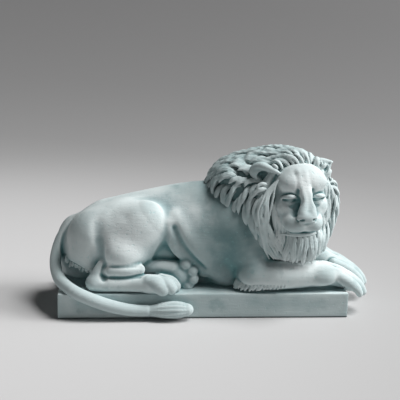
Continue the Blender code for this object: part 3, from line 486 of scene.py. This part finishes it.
def mouth(clay):
    """The closed mouth, the groove above it and the nostrils."""
    clay.stroke(face_path([(LEAN - 17.5, 1.2, -31), (LEAN - 10.5, 7.8, -29.2), (LEAN - 4, 11.2, -28.4),
                           (LEAN, 12.2, -27.6), (LEAN + 4, 11.2, -28.4), (LEAN + 10.5, 7.8, -29.2),
                           (LEAN + 17.5, 1.2, -31)]), -1.9, 1.3)
    clay.stroke(face_path([(LEAN, 15, -18), (LEAN, 14.2, -21.5), (LEAN, 12.8, -26.5)]), -1.1, 1.1)
    for s in (-1, 1):
        clay.cut(face_ball((s * 5.6 + LEAN, 14.4, -15.9), (2.7, 2.8, 1.3), (0, s * 24, 0)), 0.8)
        clay.stroke(face_path([(s * 8.2 + LEAN, 9.4, -12), (s * 9.4 + LEAN, 9.4, -14.8),
                               (s * 7.8 + LEAN, 11.6, -17.4)]), -1.1, 1)


def ears(clay):
    """The near ear, half in the hair, with a broad upper fold; and the far one's tip."""
    clay.add(face_ball((-32, -25, 13), (9.5, 5.5, 7.5)), 2)
    clay.cut(face_ball((-30, -18.6, 9.4), (6.4, 8, 4.8), (0, 24, 0)), 1)
    clay.add(face_limb([(-18, -14.6, 13, 0.9), (-21.5, -15.6, 15, 1.8), (-27.5, -17.6, 17.4, 2.8),
                        (-33.5, -20.6, 18.6, 3), (-38, -23.8, 16, 2.1), (-39.5, -25, 12, 1.6),
                        (-36.5, -23.4, 8, 1.6), (-31, -20.6, 4.6, 1.1)]), 1.2)
    clay.add(face_ball((22, -24, 13), (6.5, 4.5, 6.5)), 3)
    clay.add(face_limb([(15, -24, 20, 2.6), (20.5, -24.5, 20, 2.6), (26, -24.5, 19.4, 1.8),
                        (30.5, -24.5, 18.6, 0.9)]), 1.5)
    clay.add(face_limb([(29, -24, 18.8, 1), (27.4, -22.5, 14, 1.3), (25, -20, 9, 1.3)]), 1.2)
    clay.cut(face_ball((24, -18.5, 15), (2.6, 3.6, 4), (0, 20, 0)), 1)


# The mane

def mane_mass(clay):
    """The bulk of the mane, from the withers over the head and down to the chest, open at the face."""
    clay.add(Ball((38, -1, 74), (35, 30, 33.5)), 2)
    clay.add(Ball((61, -9, 76), (42, 29, 38)), 8)
    clay.add(Ball((74, -22, 82), (26, 24, 33)), 6)
    clay.add(Ball((66, -2, 40), (32, 28, 34)), 10)
    clay.add(Ball((85, -24, 58), (21, 19, 32)), 8)
    clay.add(Ball((88, -25, 74), (17.5, 13, 32)), 4)
    clay.add(Limb([(26, -16, 85, 17), (39, -22, 67, 17), (53, -27, 50, 14), (65, -31, 37, 9)],
                  per_span=10), 6)
    clay.add(face_ball((0, -7, -42), (19, 11, 18)), 8)
    clay.add(face_limb([(-20, -20, 17, 4), (-28, -18, 6, 6), (-32.5, -15.5, -5, 7), (-33.5, -14, -16, 7.5),
                        (-31, -11, -29, 7.5), (-27, -8, -41, 6)]), 5)
    clay.add(face_limb([(16, -21, 17, 4), (24, -20.5, 6, 5), (28.5, -19, -5, 5.5), (30.5, -18.5, -17, 6),
                        (28, -17, -30, 6), (20, -13, -41, 6)]), 5)
    clay.cut(face_ball((0, 0, -6), (23, 30, 24)), 1.5)


def from_head(points):
    """How far points lie to the viewer's right of the head's middle, ahead of it and above it."""
    r = points - HEAD_MIDDLE
    return r @ RIGHT, r @ AHEAD, r @ CROWN


def hair_flow(points):
    """The way the hair lies: away from the face, back over the crown, and down at the sides."""
    right, ahead, up = (v[:, None] for v in from_head(points))
    outward = unit(right * RIGHT + up * CROWN)
    far_side = np.clip((right - 8) / 10, 0, 1) * np.clip((12 - up) / 16, 0, 1)
    near_side = np.clip((-right - 14) / 10, 0, 1) * np.clip((15 - up) / 14, 0, 1)
    flow = np.clip(1 + up / 40, 0.12, 1) * outward * (1 - 0.8 * far_side - 0.6 * near_side)
    flow = flow - np.clip(0.5 + up / 60, 0, 1) * AHEAD * (1 - 0.7 * far_side - 0.5 * near_side)
    flow = flow + np.clip(up / 20, 0, 1) * np.clip((10 - right) / 20, 0, 1) * np.array([-0.9, 0, 0])
    flow = flow - (np.clip(0.35 - up / 26, 0, 2.2) + 0.8 * far_side + 0.9 * near_side) * UP
    flow = flow + np.clip(-ahead / 30, 0, 1) * (1 - 0.7 * near_side) * np.array([-0.6, 0, -0.35])
    return flow + np.clip((-up - 10) / 20, 0, 1) * (right < -8) * np.array([0.9, 0, 0])


def hair_roots(mass, clay):
    """Places on the mane's skin where rays from inside the head come out, ring by ring."""
    rays = []
    for ring, away in enumerate(np.radians(np.arange(40, 176, 2))):
        count = max(int(2 * math.pi * math.sin(away) / math.radians(2.4)), 6)
        for k in range(count):
            round_face = 2 * math.pi * (k + 0.5 * (ring % 2)) / count
            sideways = math.cos(round_face) * RIGHT + math.sin(round_face) * CROWN
            rays.append(math.cos(away) * AHEAD + math.sin(away) * sideways)
    roots = mass.cast(HEAD_MIDDLE, np.array(rays), 110)
    roots = mass.settle(roots[~np.isnan(roots[:, 0])])
    right, ahead, up = from_head(roots)
    in_face = (ahead > 0) & ((right / 31) ** 2 + ((up + 9) / 28) ** 2 < 1)
    above_edge = roots[:, 2] - np.interp(roots[:, 0], *np.array(MANE_EDGE).T)
    above_edge = above_edge - np.interp(roots[:, 0], (15, 40), (6, -4))
    return roots[(clay.sample(roots) > 0.6) & ~in_face & (from_ears(roots) > EAR_ROOM) & (above_edge > 0)]


def spaced(points, flows, spacing):
    """The indices of points that keep their spacing from those before, wider along the flow than across."""
    kept = []
    for i, point in enumerate(points):
        apart = points[kept] - point
        along = apart @ flows[i]
        gaps = np.sqrt((apart**2).sum(1) - along**2 * (1 - 1 / LOCK_OVERLAP**2))
        if np.all(gaps > 0.5 * (spacing[kept] + spacing[i])):
            kept.append(i)
    return kept


def from_ears(points):
    """How far the points are from the middle of the nearer ear."""
    near, far = (np.linalg.norm(points - ear, axis=1) for ear in (NEAR_EAR, FAR_EAR))
    return np.minimum(near, far + 3)


def comb(mass, roots, length, curl, stray, steps=9):
    """Paths over the mane's skin along the hair's flow, bending down towards their tips, with normals."""
    points, paths, normals = roots, [roots], [mass.normal(roots)]
    for k in range(steps):
        normal = mass.normal(points)
        flow = unit(hair_flow(points)) - (curl * (1.7 * (k + 0.5) / steps - 0.7))[:, None] * UP
        flow = flow + stray[:, None] * np.cross(normal, flow)
        flow = unit(flow - (flow * normal).sum(1, keepdims=True) * normal)
        points = mass.settle(points + flow * (length / steps)[:, None])
        paths.append(points)
        normals.append(mass.normal(points))
    return np.stack(paths, 1), np.stack(normals, 1)


def clear_of_ears(path, normals):
    """The lock's path up to an ear, as many points as before, or None where little would be left."""
    near = np.flatnonzero(from_ears(path) < EAR_ROOM)
    if not len(near):
        return path, normals
    if near[0] < 4:
        return None
    at = np.linspace(0, near[0], len(path))
    index = np.arange(len(path))
    return tuple(np.column_stack([np.interp(at, index, column) for column in rows.T])
                 for rows in (path, normals))


def lock(path, normals, width, rise):
    """A lock of hair that grows out of the mane, swells and closes in a lifted point, in strands."""
    along = np.linspace(0, 1, len(path))
    swell = np.interp(along, [0, 0.15, 0.45, 0.75, 0.92, 1], [0.5, 0.85, 1, 0.8, 0.42, 0.1])
    lift = np.interp(along, [0, 0.3, 0.7, 1], [-0.6, 0.4, 1, 0.7]) * rise
    sides = np.cross(normals, unit(np.gradient(path, axis=0)))
    limbs = []
    for across in np.linspace(-1, 1, STRANDS) * (1 - 1 / STRANDS):
        radius = swell * width * (STRAND_WIDTH / STRANDS)
        high = lift - 0.22 * width * abs(across) * swell
        rows = path + normals * high[:, None] + sides * (across * swell * width)[:, None]
        limbs.append(Limb(np.column_stack([rows, radius]), squash=(normals[len(path) // 2], STRAND_DEPTH),
                          per_span=1))
    return limbs


def mane(hair, mass, clay):
    """Locks over the whole mane, laid out on its bulk where that is outside the clay."""
    chance = np.random.RandomState(5)
    roots = hair_roots(mass, clay)
    right, ahead, up = from_head(roots)
    hanging = np.clip((4 - up) / 22, 0, 1)
    round_face = np.clip(1.9 - np.hypot(right / 31, (up + 4) / 25), 0, 0.8) / 0.8
    fine = round_face * np.clip((ahead + 12) / 10, 0, 1)
    width = LOCK_WIDTH * (1 - 0.35 * np.maximum(hanging, fine)) * chance.uniform(0.8, 1.25, len(roots))
    kept = spaced(roots, unit(hair_flow(roots)), 1.7 * width)
    roots, hanging, width, fine = roots[kept], hanging[kept], width[kept], fine[kept]
    length = LOCK_LENGTH * (1 + 0.7 * hanging) * (0.5 + 0.5 * width / width.mean())
    length = length + chance.uniform(-2, 2, len(kept))
    rise = LOCK_RISE * (1 - 0.4 * np.maximum(hanging, fine))
    curl = (1 - 0.7 * hanging) * chance.choice([0.5, 1, 1.6], len(kept))
    paths, normals = comb(mass, roots, length, curl, chance.uniform(-0.3, 0.3, len(kept)))
    for path, normal, wide, tall in zip(paths[::-1], normals[::-1], width[::-1], rise[::-1]):
        shown = clear_of_ears(path, normal)
        for strand in lock(*shown, wide, tall) if shown else ():
            hair.add(strand, 0.25)


def beard(clay):
    """The locks that hang under the chin, those on the cheeks, and the long strands that frame the face."""
    chance = np.random.RandomState(9)
    for count, half, ahead, up, drop, wide in ((10, 20, 3.6, -31, 26, 2.9), (7, 13, 7.2, -32.5, 25, 2.7)):
        for side in np.linspace(-half, half, count) + chance.uniform(-0.6, 0.6, count):
            top = face(side, ahead - 0.02 * side**2, up + 0.012 * side**2)
            length = drop * (1 - 0.2 * (side / 20) ** 2) + 0.012 * side**2 + chance.uniform(-2.5, 2.5)
            sway, phase = chance.uniform(0.8, 1.8), chance.uniform(0, 6)
            t = np.linspace(0, 1, 11)
            path = top + np.column_stack([0.1 * side * t + sway * np.sin(6 * t + phase) * t**0.5,
                                          2 * t - 2.6 * np.sin(math.pi * t), -length * t])
            facing = np.tile(unit(np.array([0.03 * side, -1, 0])), (len(t), 1))
            for strand in lock(path, facing, wide, 0.5):
                clay.add(strand, 0.3)
    for s in (-1, 1):
        for k in range(8):
            out, high = 24.5 - 2 * k, -4 - 3.9 * k
            sway = chance.uniform(-0.9, 0.9, 3)
            clay.add(face_limb([(s * out, -10.5 + 2 * k, high, 0.7),
                                (s * (out + 0.8) + sway[0], -7.5 + 1.6 * k, high - 6, 1.3),
                                (s * out + sway[1], -6 + 1.4 * k, high - 13, 1.5),
                                (s * (out - 1.4) + sway[2], -5 + 1.2 * k, high - 21, 1.4),
                                (s * (out - 2.4), -4.5 + k, high - 28, 0.7)]), 0.5)
    near_rows = ((-16.5, -12.5, 13, 0.7), (-22.5, -9.5, 6, 0.9), (-26.5, -6, -3, 1), (-28.5, -4, -15, 1),
                 (-28, -2.5, -27, 1), (-26, -0.2, -38, 1), (-21.5, 1.4, -47, 0.9), (-16.5, 0.6, -56, 0.5))
    far_rows = ((13, -16, 16, 0.7), (18.5, -13.5, 8, 0.9), (20.5, -11, -3, 1), (22, -10, -15, 1),
                (22, -9.5, -27, 0.9), (16, -8, -40, 0.5))
    for s, rows in ((-1, near_rows), (1, far_rows)):
        for out in np.arange(0, 11, FRAMING_GAP):
            r, phase = 0.43 * FRAMING_GAP * chance.uniform(0.8, 1.15), chance.uniform(0, 6)
            turns = chance.uniform(1.5, 2.3)
            strand = []
            for k, (side, ahead, up, thick) in enumerate(rows):
                wave = math.sin(turns * k + phase) * min(k / 2, 1)
                strand.append((side + s * 0.9 * out + wave, ahead + 0.5 * wave,
                               up - 0.03 * out * max(14 + up, 0), thick * r))
            clay.add(face_limb(strand), 0.3)
    clay.add(face_limb([(-36, -8, -31, 2), (-32, -5, -38, 3), (-27, -3, -45, 3.8),
                        (-21, -2.5, -52, 4), (-17, -3, -57, 2.2)]), 1)


# The dressed lion

# The lowest and highest corners of the rooms that the figure and its forms need
WHOLE_ROOM = (END - 22, FRONT - 24, -HEIGHT - 1), (164, max(-FRONT, 50) + 4, 128)
BODY_ROOM = WHOLE_ROOM[0], (*WHOLE_ROOM[1][:2], 104)
MANE_ROOM = (-8, -66, 8), (122, 38, 128)
HEAD_ROOM = (34, -74, 38), (116, -8, 118)


def modelled(room, step, *forms):
    """The clay in a room after each form in turn."""
    clay = Clay(*room, step)
    for form in forms:
        form(clay)
    return clay


def base_clay(step):
    """The lion without its head and mane."""
    return modelled(BODY_ROOM, step, body, far_haunch, flank, near_haunch, near_foreleg, far_foreleg,
                    recess_under_rump, near_hind_foot, far_hind_foot, tail, fur)


def head_clay(step):
    return modelled(HEAD_ROOM, step, skull, eyes, mouth, ears)


def mane_clay(step):
    """The mane, its locks laid out on the same coarse clay as the solid's."""
    rough = modelled(MANE_ROOM, ROUGH_GRID, body, near_foreleg, far_foreleg, skull)
    hair = modelled(MANE_ROOM, step, mane_mass)
    hair.field += LOCK_BED
    mane(hair, modelled(MANE_ROOM, ROUGH_GRID, mane_mass), rough)
    beard(hair)
    return hair


# Where plaster gathers its green wash and its dust: how closed in each place is

def fullness(clay):
    """A grid like the clay's, from 0 in the open to 1 inside the clay."""
    return clay.like(np.clip(0.5 - clay.field / (2 * clay.step), 0, 1).astype(np.float32))


def averaged(full, radius):
    """A grid averaged over about the radius, by running sums along each axis, twice."""
    cells = max(int(round(radius / full.step)), 1)
    field = full.field
    for axis in (0, 1, 2, 0, 1, 2):
        side = np.moveaxis(field, axis, 0)
        padded = np.pad(side, ((cells + 1, cells), (0, 0), (0, 0)))
        total = np.cumsum(padded, axis=0, dtype=np.float64)
        side = (total[2 * cells + 1 :] - total[: -2 * cells - 1]) / (2 * cells + 1)
        field = np.moveaxis(side.astype(np.float32), 0, axis)
    return full.like(field)


def gathered(clays, step):
    """All the clays and the plinth in one coarse grid of fullness."""
    whole = Clay(*WHOLE_ROOM, step)
    x, y, z = np.meshgrid(*whole.axes, indexing="ij")
    whole.field = np.maximum(np.maximum(np.abs(x) + END, np.abs(y) + FRONT), z)
    for clay in clays:
        cut = tuple(slice(int(np.searchsorted(a, low)), int(np.searchsorted(a, high)))
                    for a, low, high in zip(whole.axes, clay.low, clay.top()))
        points = np.stack([x[cut], y[cut], z[cut]], -1).reshape(-1, 3)
        field = clay.sample(points).reshape(x[cut].shape)
        whole.field[cut] = np.minimum(whole.field[cut], field)
    return fullness(whole)


class Wear:
    """How hollow and how sharp the plaster is at any place, from averages of its fullness."""

    def __init__(self, clays):
        whole = gathered(clays, 1.5)
        self.wide = [(averaged(whole, reach), share) for reach, share in ((4, 0.8), (9, 0.9), (18, 0.8))]

    def hollow(self, fine, points):
        """Near 0 on open, rounded places, near 1 in a groove or under a limb."""
        total = 1.5 * (fine.sample(points) - 0.5)
        for mean, share in self.wide:
            total = total + share * (mean.sample(points) - 0.5)
        return total


def shut(clay):
    """Closes the skin where the clay reaches the sides of its room."""
    for axis in range(3):
        side = np.moveaxis(clay.field, axis, 0)
        side[0] = side[-1] = 1.0


def buried(points, others):
    """Which points lie well inside any of the other clays."""
    inside = np.zeros(len(points), bool)
    for other in others:
        within = np.all((points > other.low + 1) & (points < other.top() - 1), axis=1)
        inside[within] |= other.sample(points[within]) < -1.5
    return inside


def placed(name, data):
    """A new object in the scene."""
    made = bpy.data.objects.new(name, data)
    bpy.context.scene.collection.objects.link(made)
    return made


def apply_modifiers(piece):
    """Gives a piece the mesh that its modifiers make."""
    plain = piece.data
    made = piece.evaluated_get(bpy.context.evaluated_depsgraph_get())
    piece.data = bpy.data.meshes.new_from_object(made)
    piece.modifiers.clear()
    bpy.data.meshes.remove(plain)
    piece.data.name = piece.name
    return piece.data


def figure_points(mesh):
    """A mesh's points, in the figure's own units."""
    flat = np.empty(3 * len(mesh.vertices))
    mesh.vertices.foreach_get("co", flat)
    return (flat.reshape(-1, 3) - PLINTH_TOP) / UNIT


def mark(mesh, name, values):
    """Keeps a number for each point, for the plaster's colours."""
    mesh.attributes.new(name, "FLOAT", "POINT").data.foreach_set("value", values.astype(np.float32))


def skinned(name, clay, most, wear, others):
    """A piece from clay, less what the other clays cover, with its hollows, grooves and ridges marked."""
    full = fullness(clay)
    fine, finest = averaged(full, 2.0), averaged(full, clay.step)
    shut(clay)
    points, quads = clay.skin()
    quads = quads[~buried(points, others)[quads].all(axis=1)]
    used, quads = np.unique(quads, return_inverse=True)
    points, quads = points[used], quads.reshape(-1, 4)
    mesh = bpy.data.meshes.new(name)
    mesh.from_pydata((points * UNIT + PLINTH_TOP).tolist(), [], quads.tolist())
    piece = placed(name, mesh)
    if 2 * len(quads) > most:
        fewer = piece.modifiers.new("fewer facets", "DECIMATE")
        fewer.ratio = most / (2 * len(quads))
        mesh = apply_modifiers(piece)
    points = figure_points(mesh)
    mark(mesh, "hollow", wear.hollow(fine, points))
    mark(mesh, "groove", fine.sample(points) - 0.5)
    mark(mesh, "ridge", 0.5 - finest.sample(points))
    mesh.shade_smooth()
    return piece


LONGEST_EDGE = 3  # of the plinth's facets


def plinth_piece(wear):
    """A cast block with soft edges, finely divided for the stains round the lion's feet."""
    bpy.ops.mesh.primitive_cube_add(size=1, location=(0, 0, PLINTH_HEIGHT / 2))
    block = bpy.context.object
    block.name = "lion_plinth"
    block.scale = (PLINTH_LENGTH, PLINTH_DEPTH, PLINTH_HEIGHT)
    bpy.ops.object.transform_apply(location=True, rotation=False, scale=True)
    edges = block.modifiers.new("soft edges", "BEVEL")
    edges.width = PLINTH_EDGE
    edges.segments = 3
    mesh = apply_modifiers(block)
    shape = bmesh.new()
    shape.from_mesh(mesh)
    for _ in range(5):
        long = [e for e in shape.edges if e.calc_length() > LONGEST_EDGE * UNIT]
        bmesh.ops.subdivide_edges(shape, edges=long, cuts=2, use_grid_fill=True)
    shape.to_mesh(mesh)
    shape.free()
    points = figure_points(mesh)
    mark(mesh, "hollow", 0.6 * sum(share * (mean.sample(points) - 0.5) for mean, share in wear.wide))
    mesh.shade_smooth()
    mesh.set_sharp_from_angle(angle=math.radians(40))
    return block


# Looks

def new_material(name):
    """A material, its nodes, its shader and the place that its textures are read at."""
    material = bpy.data.materials.new(name)
    material.use_nodes = True
    tree = material.node_tree
    place = tree.nodes.new("ShaderNodeTexCoord").outputs["Object"]
    return material, tree, tree.nodes["Principled BSDF"], place


def noise(tree, place, scale, detail=4.0, roughness=0.5):
    made = tree.nodes.new("ShaderNodeTexNoise")
    made.inputs["Scale"].default_value = scale
    made.inputs["Detail"].default_value = detail
    made.inputs["Roughness"].default_value = roughness
    tree.links.new(place, made.inputs["Vector"])
    return made.outputs["Fac"]


def stretch(tree, value, low, high, to_low=0.0, to_high=1.0):
    made = tree.nodes.new("ShaderNodeMapRange")
    for name, number in (("From Min", low), ("From Max", high), ("To Min", to_low), ("To Max", to_high)):
        made.inputs[name].default_value = number
    tree.links.new(value, made.inputs["Value"])
    return made.outputs["Result"]


def maths(tree, operation, a, b):
    made = tree.nodes.new("ShaderNodeMath")
    made.operation = operation
    for socket, value in zip(made.inputs, (a, b)):
        if isinstance(value, (int, float)):
            socket.default_value = value
        else:
            tree.links.new(value, socket)
    return made.outputs["Value"]


def vector_maths(tree, operation, value, by=None):
    made = tree.nodes.new("ShaderNodeVectorMath")
    made.operation = operation
    tree.links.new(value, made.inputs[0])
    if by is not None:
        made.inputs[1].default_value = tuple(by)
    return made.outputs["Value" if operation in ("LENGTH", "DISTANCE") else "Vector"]


def blend_colour(tree, share, a, b):
    made = tree.nodes.new("ShaderNodeMix")
    made.data_type = "RGBA"
    tree.links.new(share, made.inputs["Factor"])
    for socket, value in ((made.inputs["A"], a), (made.inputs["B"], b)):
        if isinstance(value, tuple):
            socket.default_value = value
        else:
            tree.links.new(value, socket)
    return made.outputs["Result"]


def ball_share(tree, place, middle, radii):
    """1 at the middle of an ellipsoid on the figure's scale, falling to 0 a little outside it."""
    apart = vector_maths(tree, "SUBTRACT", place, np.array(middle) * UNIT + PLINTH_TOP)
    scaled = vector_maths(tree, "DIVIDE", apart, np.array(radii) * UNIT)
    return stretch(tree, vector_maths(tree, "LENGTH", scaled), 0.3, 1.3, 1, 0)


def marked(tree, name):
    """A number that the piece keeps for each point."""
    made = tree.nodes.new("ShaderNodeAttribute")
    made.attribute_name = name
    return made.outputs["Fac"]


PALE = (0.53, 0.62, 0.625, 1)
DUSTY = (0.68, 0.755, 0.755, 1)
RUBBED = (0.46, 0.55, 0.555, 1)
CLOUDED = (0.42, 0.525, 0.54, 1)
GREEN = (0.32, 0.58, 0.59, 1)
# Painted shade: a near-black teal put where shade falls, in part also a teal stain
PAINTED_SHADE_AND_STAIN = (0.08, 0.20, 0.21, 1)
# Painted light: the pale put on patches where light falls
PAINTED_LIGHT = (0.86, 0.91, 0.91, 1)
# Painted contact shadow: a near-black line painted round the plinth's foot
PAINTED_CONTACT_SHADOW = (0.03, 0.045, 0.045, 1)  # along the plinth's foot
STAIN_FROM, STAIN_FULL = 0.2, 0.75  # how hollow a place is where its green stain starts and is full
# Dark washes, painted shade for the most part and in part a teal stain: the shoulder, elbow and flank in
# the mane's shadow, the withers, the plinth's front face, the hollow under the rump and the mane's top; the
# middle, the radii and how strong, on the figure's scale
SHADE_AND_STAIN_WASHES = (((19, -30, 64), (22, 34, 36), 0.6), ((33, -38, 30), (26, 22, 24), 0.52),
          ((2, -34, 28), (40, 20, 34), 0.44), ((-4, -12, 86), (34, 26, 20), 0.36),
          ((0, -47, -10), (170, 6, 16), 0.36), ((-112, -10, 20), (8, 13, 17), 0.8),
          ((42, -8, 112), (52, 40, 24), 0.34))
# Patches of painted light, pale where light falls: the brow, the thigh and the tops of the forearm and the
# paw; the middle, the radii and how strong
PAINTED_LIGHT_PATCHES = (((80, -44, 93), (22, 16, 14), 0.6), ((-64, -40, 42), (24, 12, 22), 0.45),
        ((76, -36, 25), (34, 13, 7), 0.8), ((118, -30, 15), (18, 12, 12), 0.4))


def plaster():
    """Pale blue-green plaster: clouded, dusty on its ridges, with a green wash left in its hollows, painted
    shade in its grooves, creases and shaded places, and patches of painted light.
    """
    material, tree, shader, place = new_material("plaster")
    hollow, ridge, groove = (marked(tree, name) for name in ("hollow", "ridge", "groove"))
    grain = noise(tree, place, 900, 3)
    pits = stretch(tree, noise(tree, place, 420, 2), 0.62, 0.76)
    mottle = stretch(tree, noise(tree, place, 260, 6, 0.7), 0.35, 0.65)
    patches = stretch(tree, noise(tree, place, 60, 4), 0.3, 0.7, -0.1, 0.1)
    clouds = maths(tree, "ADD", stretch(tree, noise(tree, place, 22, 5), 0.35, 0.7, -0.2, 1.0),
                   maths(tree, "MULTIPLY", mottle, 0.4))
    open_places = maths(tree, "ADD", hollow, maths(tree, "MULTIPLY", patches, 0.7))
    uneven = maths(tree, "MULTIPLY", patches, 1.5)
    height = tree.nodes.new("ShaderNodeSeparateXYZ")
    tree.links.new(place, height.inputs["Vector"])

    # Each coat's value, where it starts and is full, how strong it is and its colour
    coats = [(open_places, 0.02, -0.16, 1, DUSTY), (open_places, -0.24, -0.5, 1, RUBBED),
             (ridge, 0.04, 0.24, 0.4, DUSTY)]
    # Painted shade, in part a teal stain: the dark washes darken the shaded places listed above
    for middle, radii, strength in SHADE_AND_STAIN_WASHES:
        wash = maths(tree, "ADD", ball_share(tree, place, middle, radii), uneven)
        coats.append((wash, 0.1, 0.8, strength, PAINTED_SHADE_AND_STAIN))
    # Painted light: pale patches on the brow, the thigh, the forearm's top and the paw
    for middle, radii, strength in PAINTED_LIGHT_PATCHES:
        coats.append((ball_share(tree, place, middle, radii), 0, 1, strength, PAINTED_LIGHT))
    # Painted shade: the near-black teal goes into fine creases and grooves; the last coat is a painted
    # contact shadow along the plinth's foot
    coats += [(maths(tree, "ADD", hollow, patches), STAIN_FROM, STAIN_FULL, 0.75, GREEN),
              (ridge, -0.01, -0.13, 0.8, PAINTED_SHADE_AND_STAIN), (groove, -0.04, -0.22, 0.5, DUSTY),
              (groove, 0, 0.17, 0.88, PAINTED_SHADE_AND_STAIN), (height.outputs["Z"], 0.0016, 0.0008, 0.9, PAINTED_CONTACT_SHADOW)]
    colour = blend_colour(tree, clouds, PALE, CLOUDED)
    for value, start, full, most, tint in coats:
        colour = blend_colour(tree, stretch(tree, value, start, full, 0, most), colour, tint)
    colour = blend_colour(tree, maths(tree, "MULTIPLY", pits, 0.35), colour, GREEN)

    tree.links.new(colour, shader.inputs["Base Color"])
    tree.links.new(stretch(tree, grain, 0.3, 0.7, 0.72, 0.9), shader.inputs["Roughness"])
    shader.inputs["Specular IOR Level"].default_value = 0.35
    along = tree.nodes.new("ShaderNodeMapping")
    along.inputs["Scale"].default_value = (0.22, 1, 1)
    tree.links.new(place, along.inputs["Vector"])
    strokes = noise(tree, along.outputs["Vector"], 520, 3)
    rough = maths(tree, "MULTIPLY", grain, 0.25)
    for texture, share in ((strokes, 0.8), (noise(tree, place, 160, 4), 0.6), (pits, -0.5)):
        rough = maths(tree, "ADD", rough, maths(tree, "MULTIPLY", texture, share))
    bump = tree.nodes.new("ShaderNodeBump")
    bump.inputs["Strength"].default_value = 0.5
    bump.inputs["Distance"].default_value = 0.0006
    tree.links.new(rough, bump.inputs["Height"])
    tree.links.new(bump.outputs["Normal"], shader.inputs["Normal"])
    return material


# The backdrop: a round floor that rises into a wall
FLOOR_RADIUS = 0.75
WALL_BEND = 2.2  # radius of the floor's bend into the wall
WALL_ANGLE = 50  # degrees that the bend turns
FALLOFF_MIDDLE = (-0.42, 0, 0)
# How pale it is at distances from that middle: painted shade, standing in for the light's fall-off across
# the sweep
SWEEP_PAINTED_FALLOFF = (0.2, 0.61), (0.45, 0.53), (0.7, 0.37), (0.95, 0.285), (1.4, 0.22), (2.0, 0.185)


def backdrop():
    """A plain sweep turned round the lion, with painted shade: paler near a middle set off to the tail's
    side, darker away from it.
    """
    bend = [(FLOOR_RADIUS + WALL_BEND * math.sin(a), WALL_BEND * (1 - math.cos(a)))
            for a in np.radians(np.linspace(0, WALL_ANGLE, 25))]
    turns = 96
    circle = 2 * math.pi * np.arange(turns) / turns
    points = [(r * math.cos(a), r * math.sin(a), z) for r, z in bend for a in circle]
    rings = np.arange(len(points)).reshape(-1, turns)
    after = np.roll(rings, -1, axis=1)
    faces = np.stack([after[:-1], rings[:-1], rings[1:], after[1:]], -1).reshape(-1, 4).tolist()
    shape = bpy.data.meshes.new("backdrop")
    shape.from_pydata(points, [], [*faces, tuple(range(turns))])
    shape.shade_smooth()
    material, tree, shader, place = new_material("backdrop")
    far = vector_maths(tree, "DISTANCE", place, FALLOFF_MIDDLE)
    painted_falloff = tree.nodes.new("ShaderNodeValToRGB")
    painted_falloff.color_ramp.interpolation = "B_SPLINE"
    stops = painted_falloff.color_ramp.elements
    for _ in SWEEP_PAINTED_FALLOFF[2:]:
        stops.new(0.5)
    for stop, (away, tone) in zip(stops, SWEEP_PAINTED_FALLOFF):
        stop.position = away / 2
        stop.color = (tone, 0.995 * tone, 0.997 * tone, 1)
    tree.links.new(maths(tree, "MULTIPLY", far, 0.5), painted_falloff.inputs["Fac"])
    tree.links.new(painted_falloff.outputs["Color"], shader.inputs["Base Color"])
    shader.inputs["Roughness"].default_value = 0.9
    shader.inputs["Specular IOR Level"].default_value = 0.2
    shape.materials.append(material)
    placed("backdrop", shape)


LIT = (0, 0, 0.05)  # what the lights are aimed at
# Each light's name, place, width and power
LIGHTS = (("key", (3.05, -0.34, 1.91), 1.5, 108), ("high", (1.55, -0.25, 3.25), 1.5, 114))
SKY = (0.80, 0.80, 0.81, 1)
SKY_STRENGTH = 0.022


def lights():
    for name, place, size, power in LIGHTS:
        lamp = bpy.data.lights.new(name, "AREA")
        lamp.shape = "DISK"
        lamp.size = size
        lamp.energy = power
        holder = placed(name, lamp)
        holder.location = place
        holder.rotation_euler = (Vector(LIT) - Vector(place)).to_track_quat("-Z", "Y").to_euler()
    world = bpy.data.worlds.new("studio")
    world.use_nodes = True
    sky = world.node_tree.nodes["Background"]
    sky.inputs["Color"].default_value = SKY
    sky.inputs["Strength"].default_value = SKY_STRENGTH
    bpy.context.scene.world = world
    bpy.context.scene.view_settings.view_transform = "Standard"


# The photo's view, solved from the plinth's corners: the point it is aimed at, its turn to the tail
# side, its height angle and its roll
AIM = (-0.0022, 0, 0.0894)
TURN, HEIGHT_ANGLE, ROLL = math.radians(5.98), math.radians(12.23), math.radians(1.76)
DISTANCE = 0.6883
FIELD_OF_VIEW = math.radians(28)


def camera():
    turned = (Matrix.Rotation(-TURN, 4, "Z") @ Matrix.Rotation(math.pi / 2 - HEIGHT_ANGLE, 4, "X")
              @ Matrix.Rotation(ROLL, 4, "Z"))
    lens = bpy.data.cameras.new("photo_view")
    lens.angle = FIELD_OF_VIEW
    holder = placed("photo_view", lens)
    holder.matrix_world = Matrix.Translation(AIM) @ turned @ Matrix.Translation((0, 0, DISTANCE))
    bpy.context.scene.camera = holder


def main():
    times = 1.0
    base, head = base_clay(BODY_GRID * times), head_clay(HEAD_GRID * times)
    hair = mane_clay(MANE_GRID * times)
    wear = Wear((base, head, hair))
    pieces = [skinned("lion_body", base, BODY_FACETS, wear, (head, hair)),
              skinned("lion_head", head, HEAD_FACETS, wear, (base, hair)),
              skinned("lion_mane", hair, MANE_FACETS, wear, (base, head)), plinth_piece(wear)]
    finish = plaster()
    for piece in pieces:
        piece.data.materials.append(finish)
        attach(piece, "root")
        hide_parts("lion_on_plinth")


camera()
lights()
backdrop()
main()
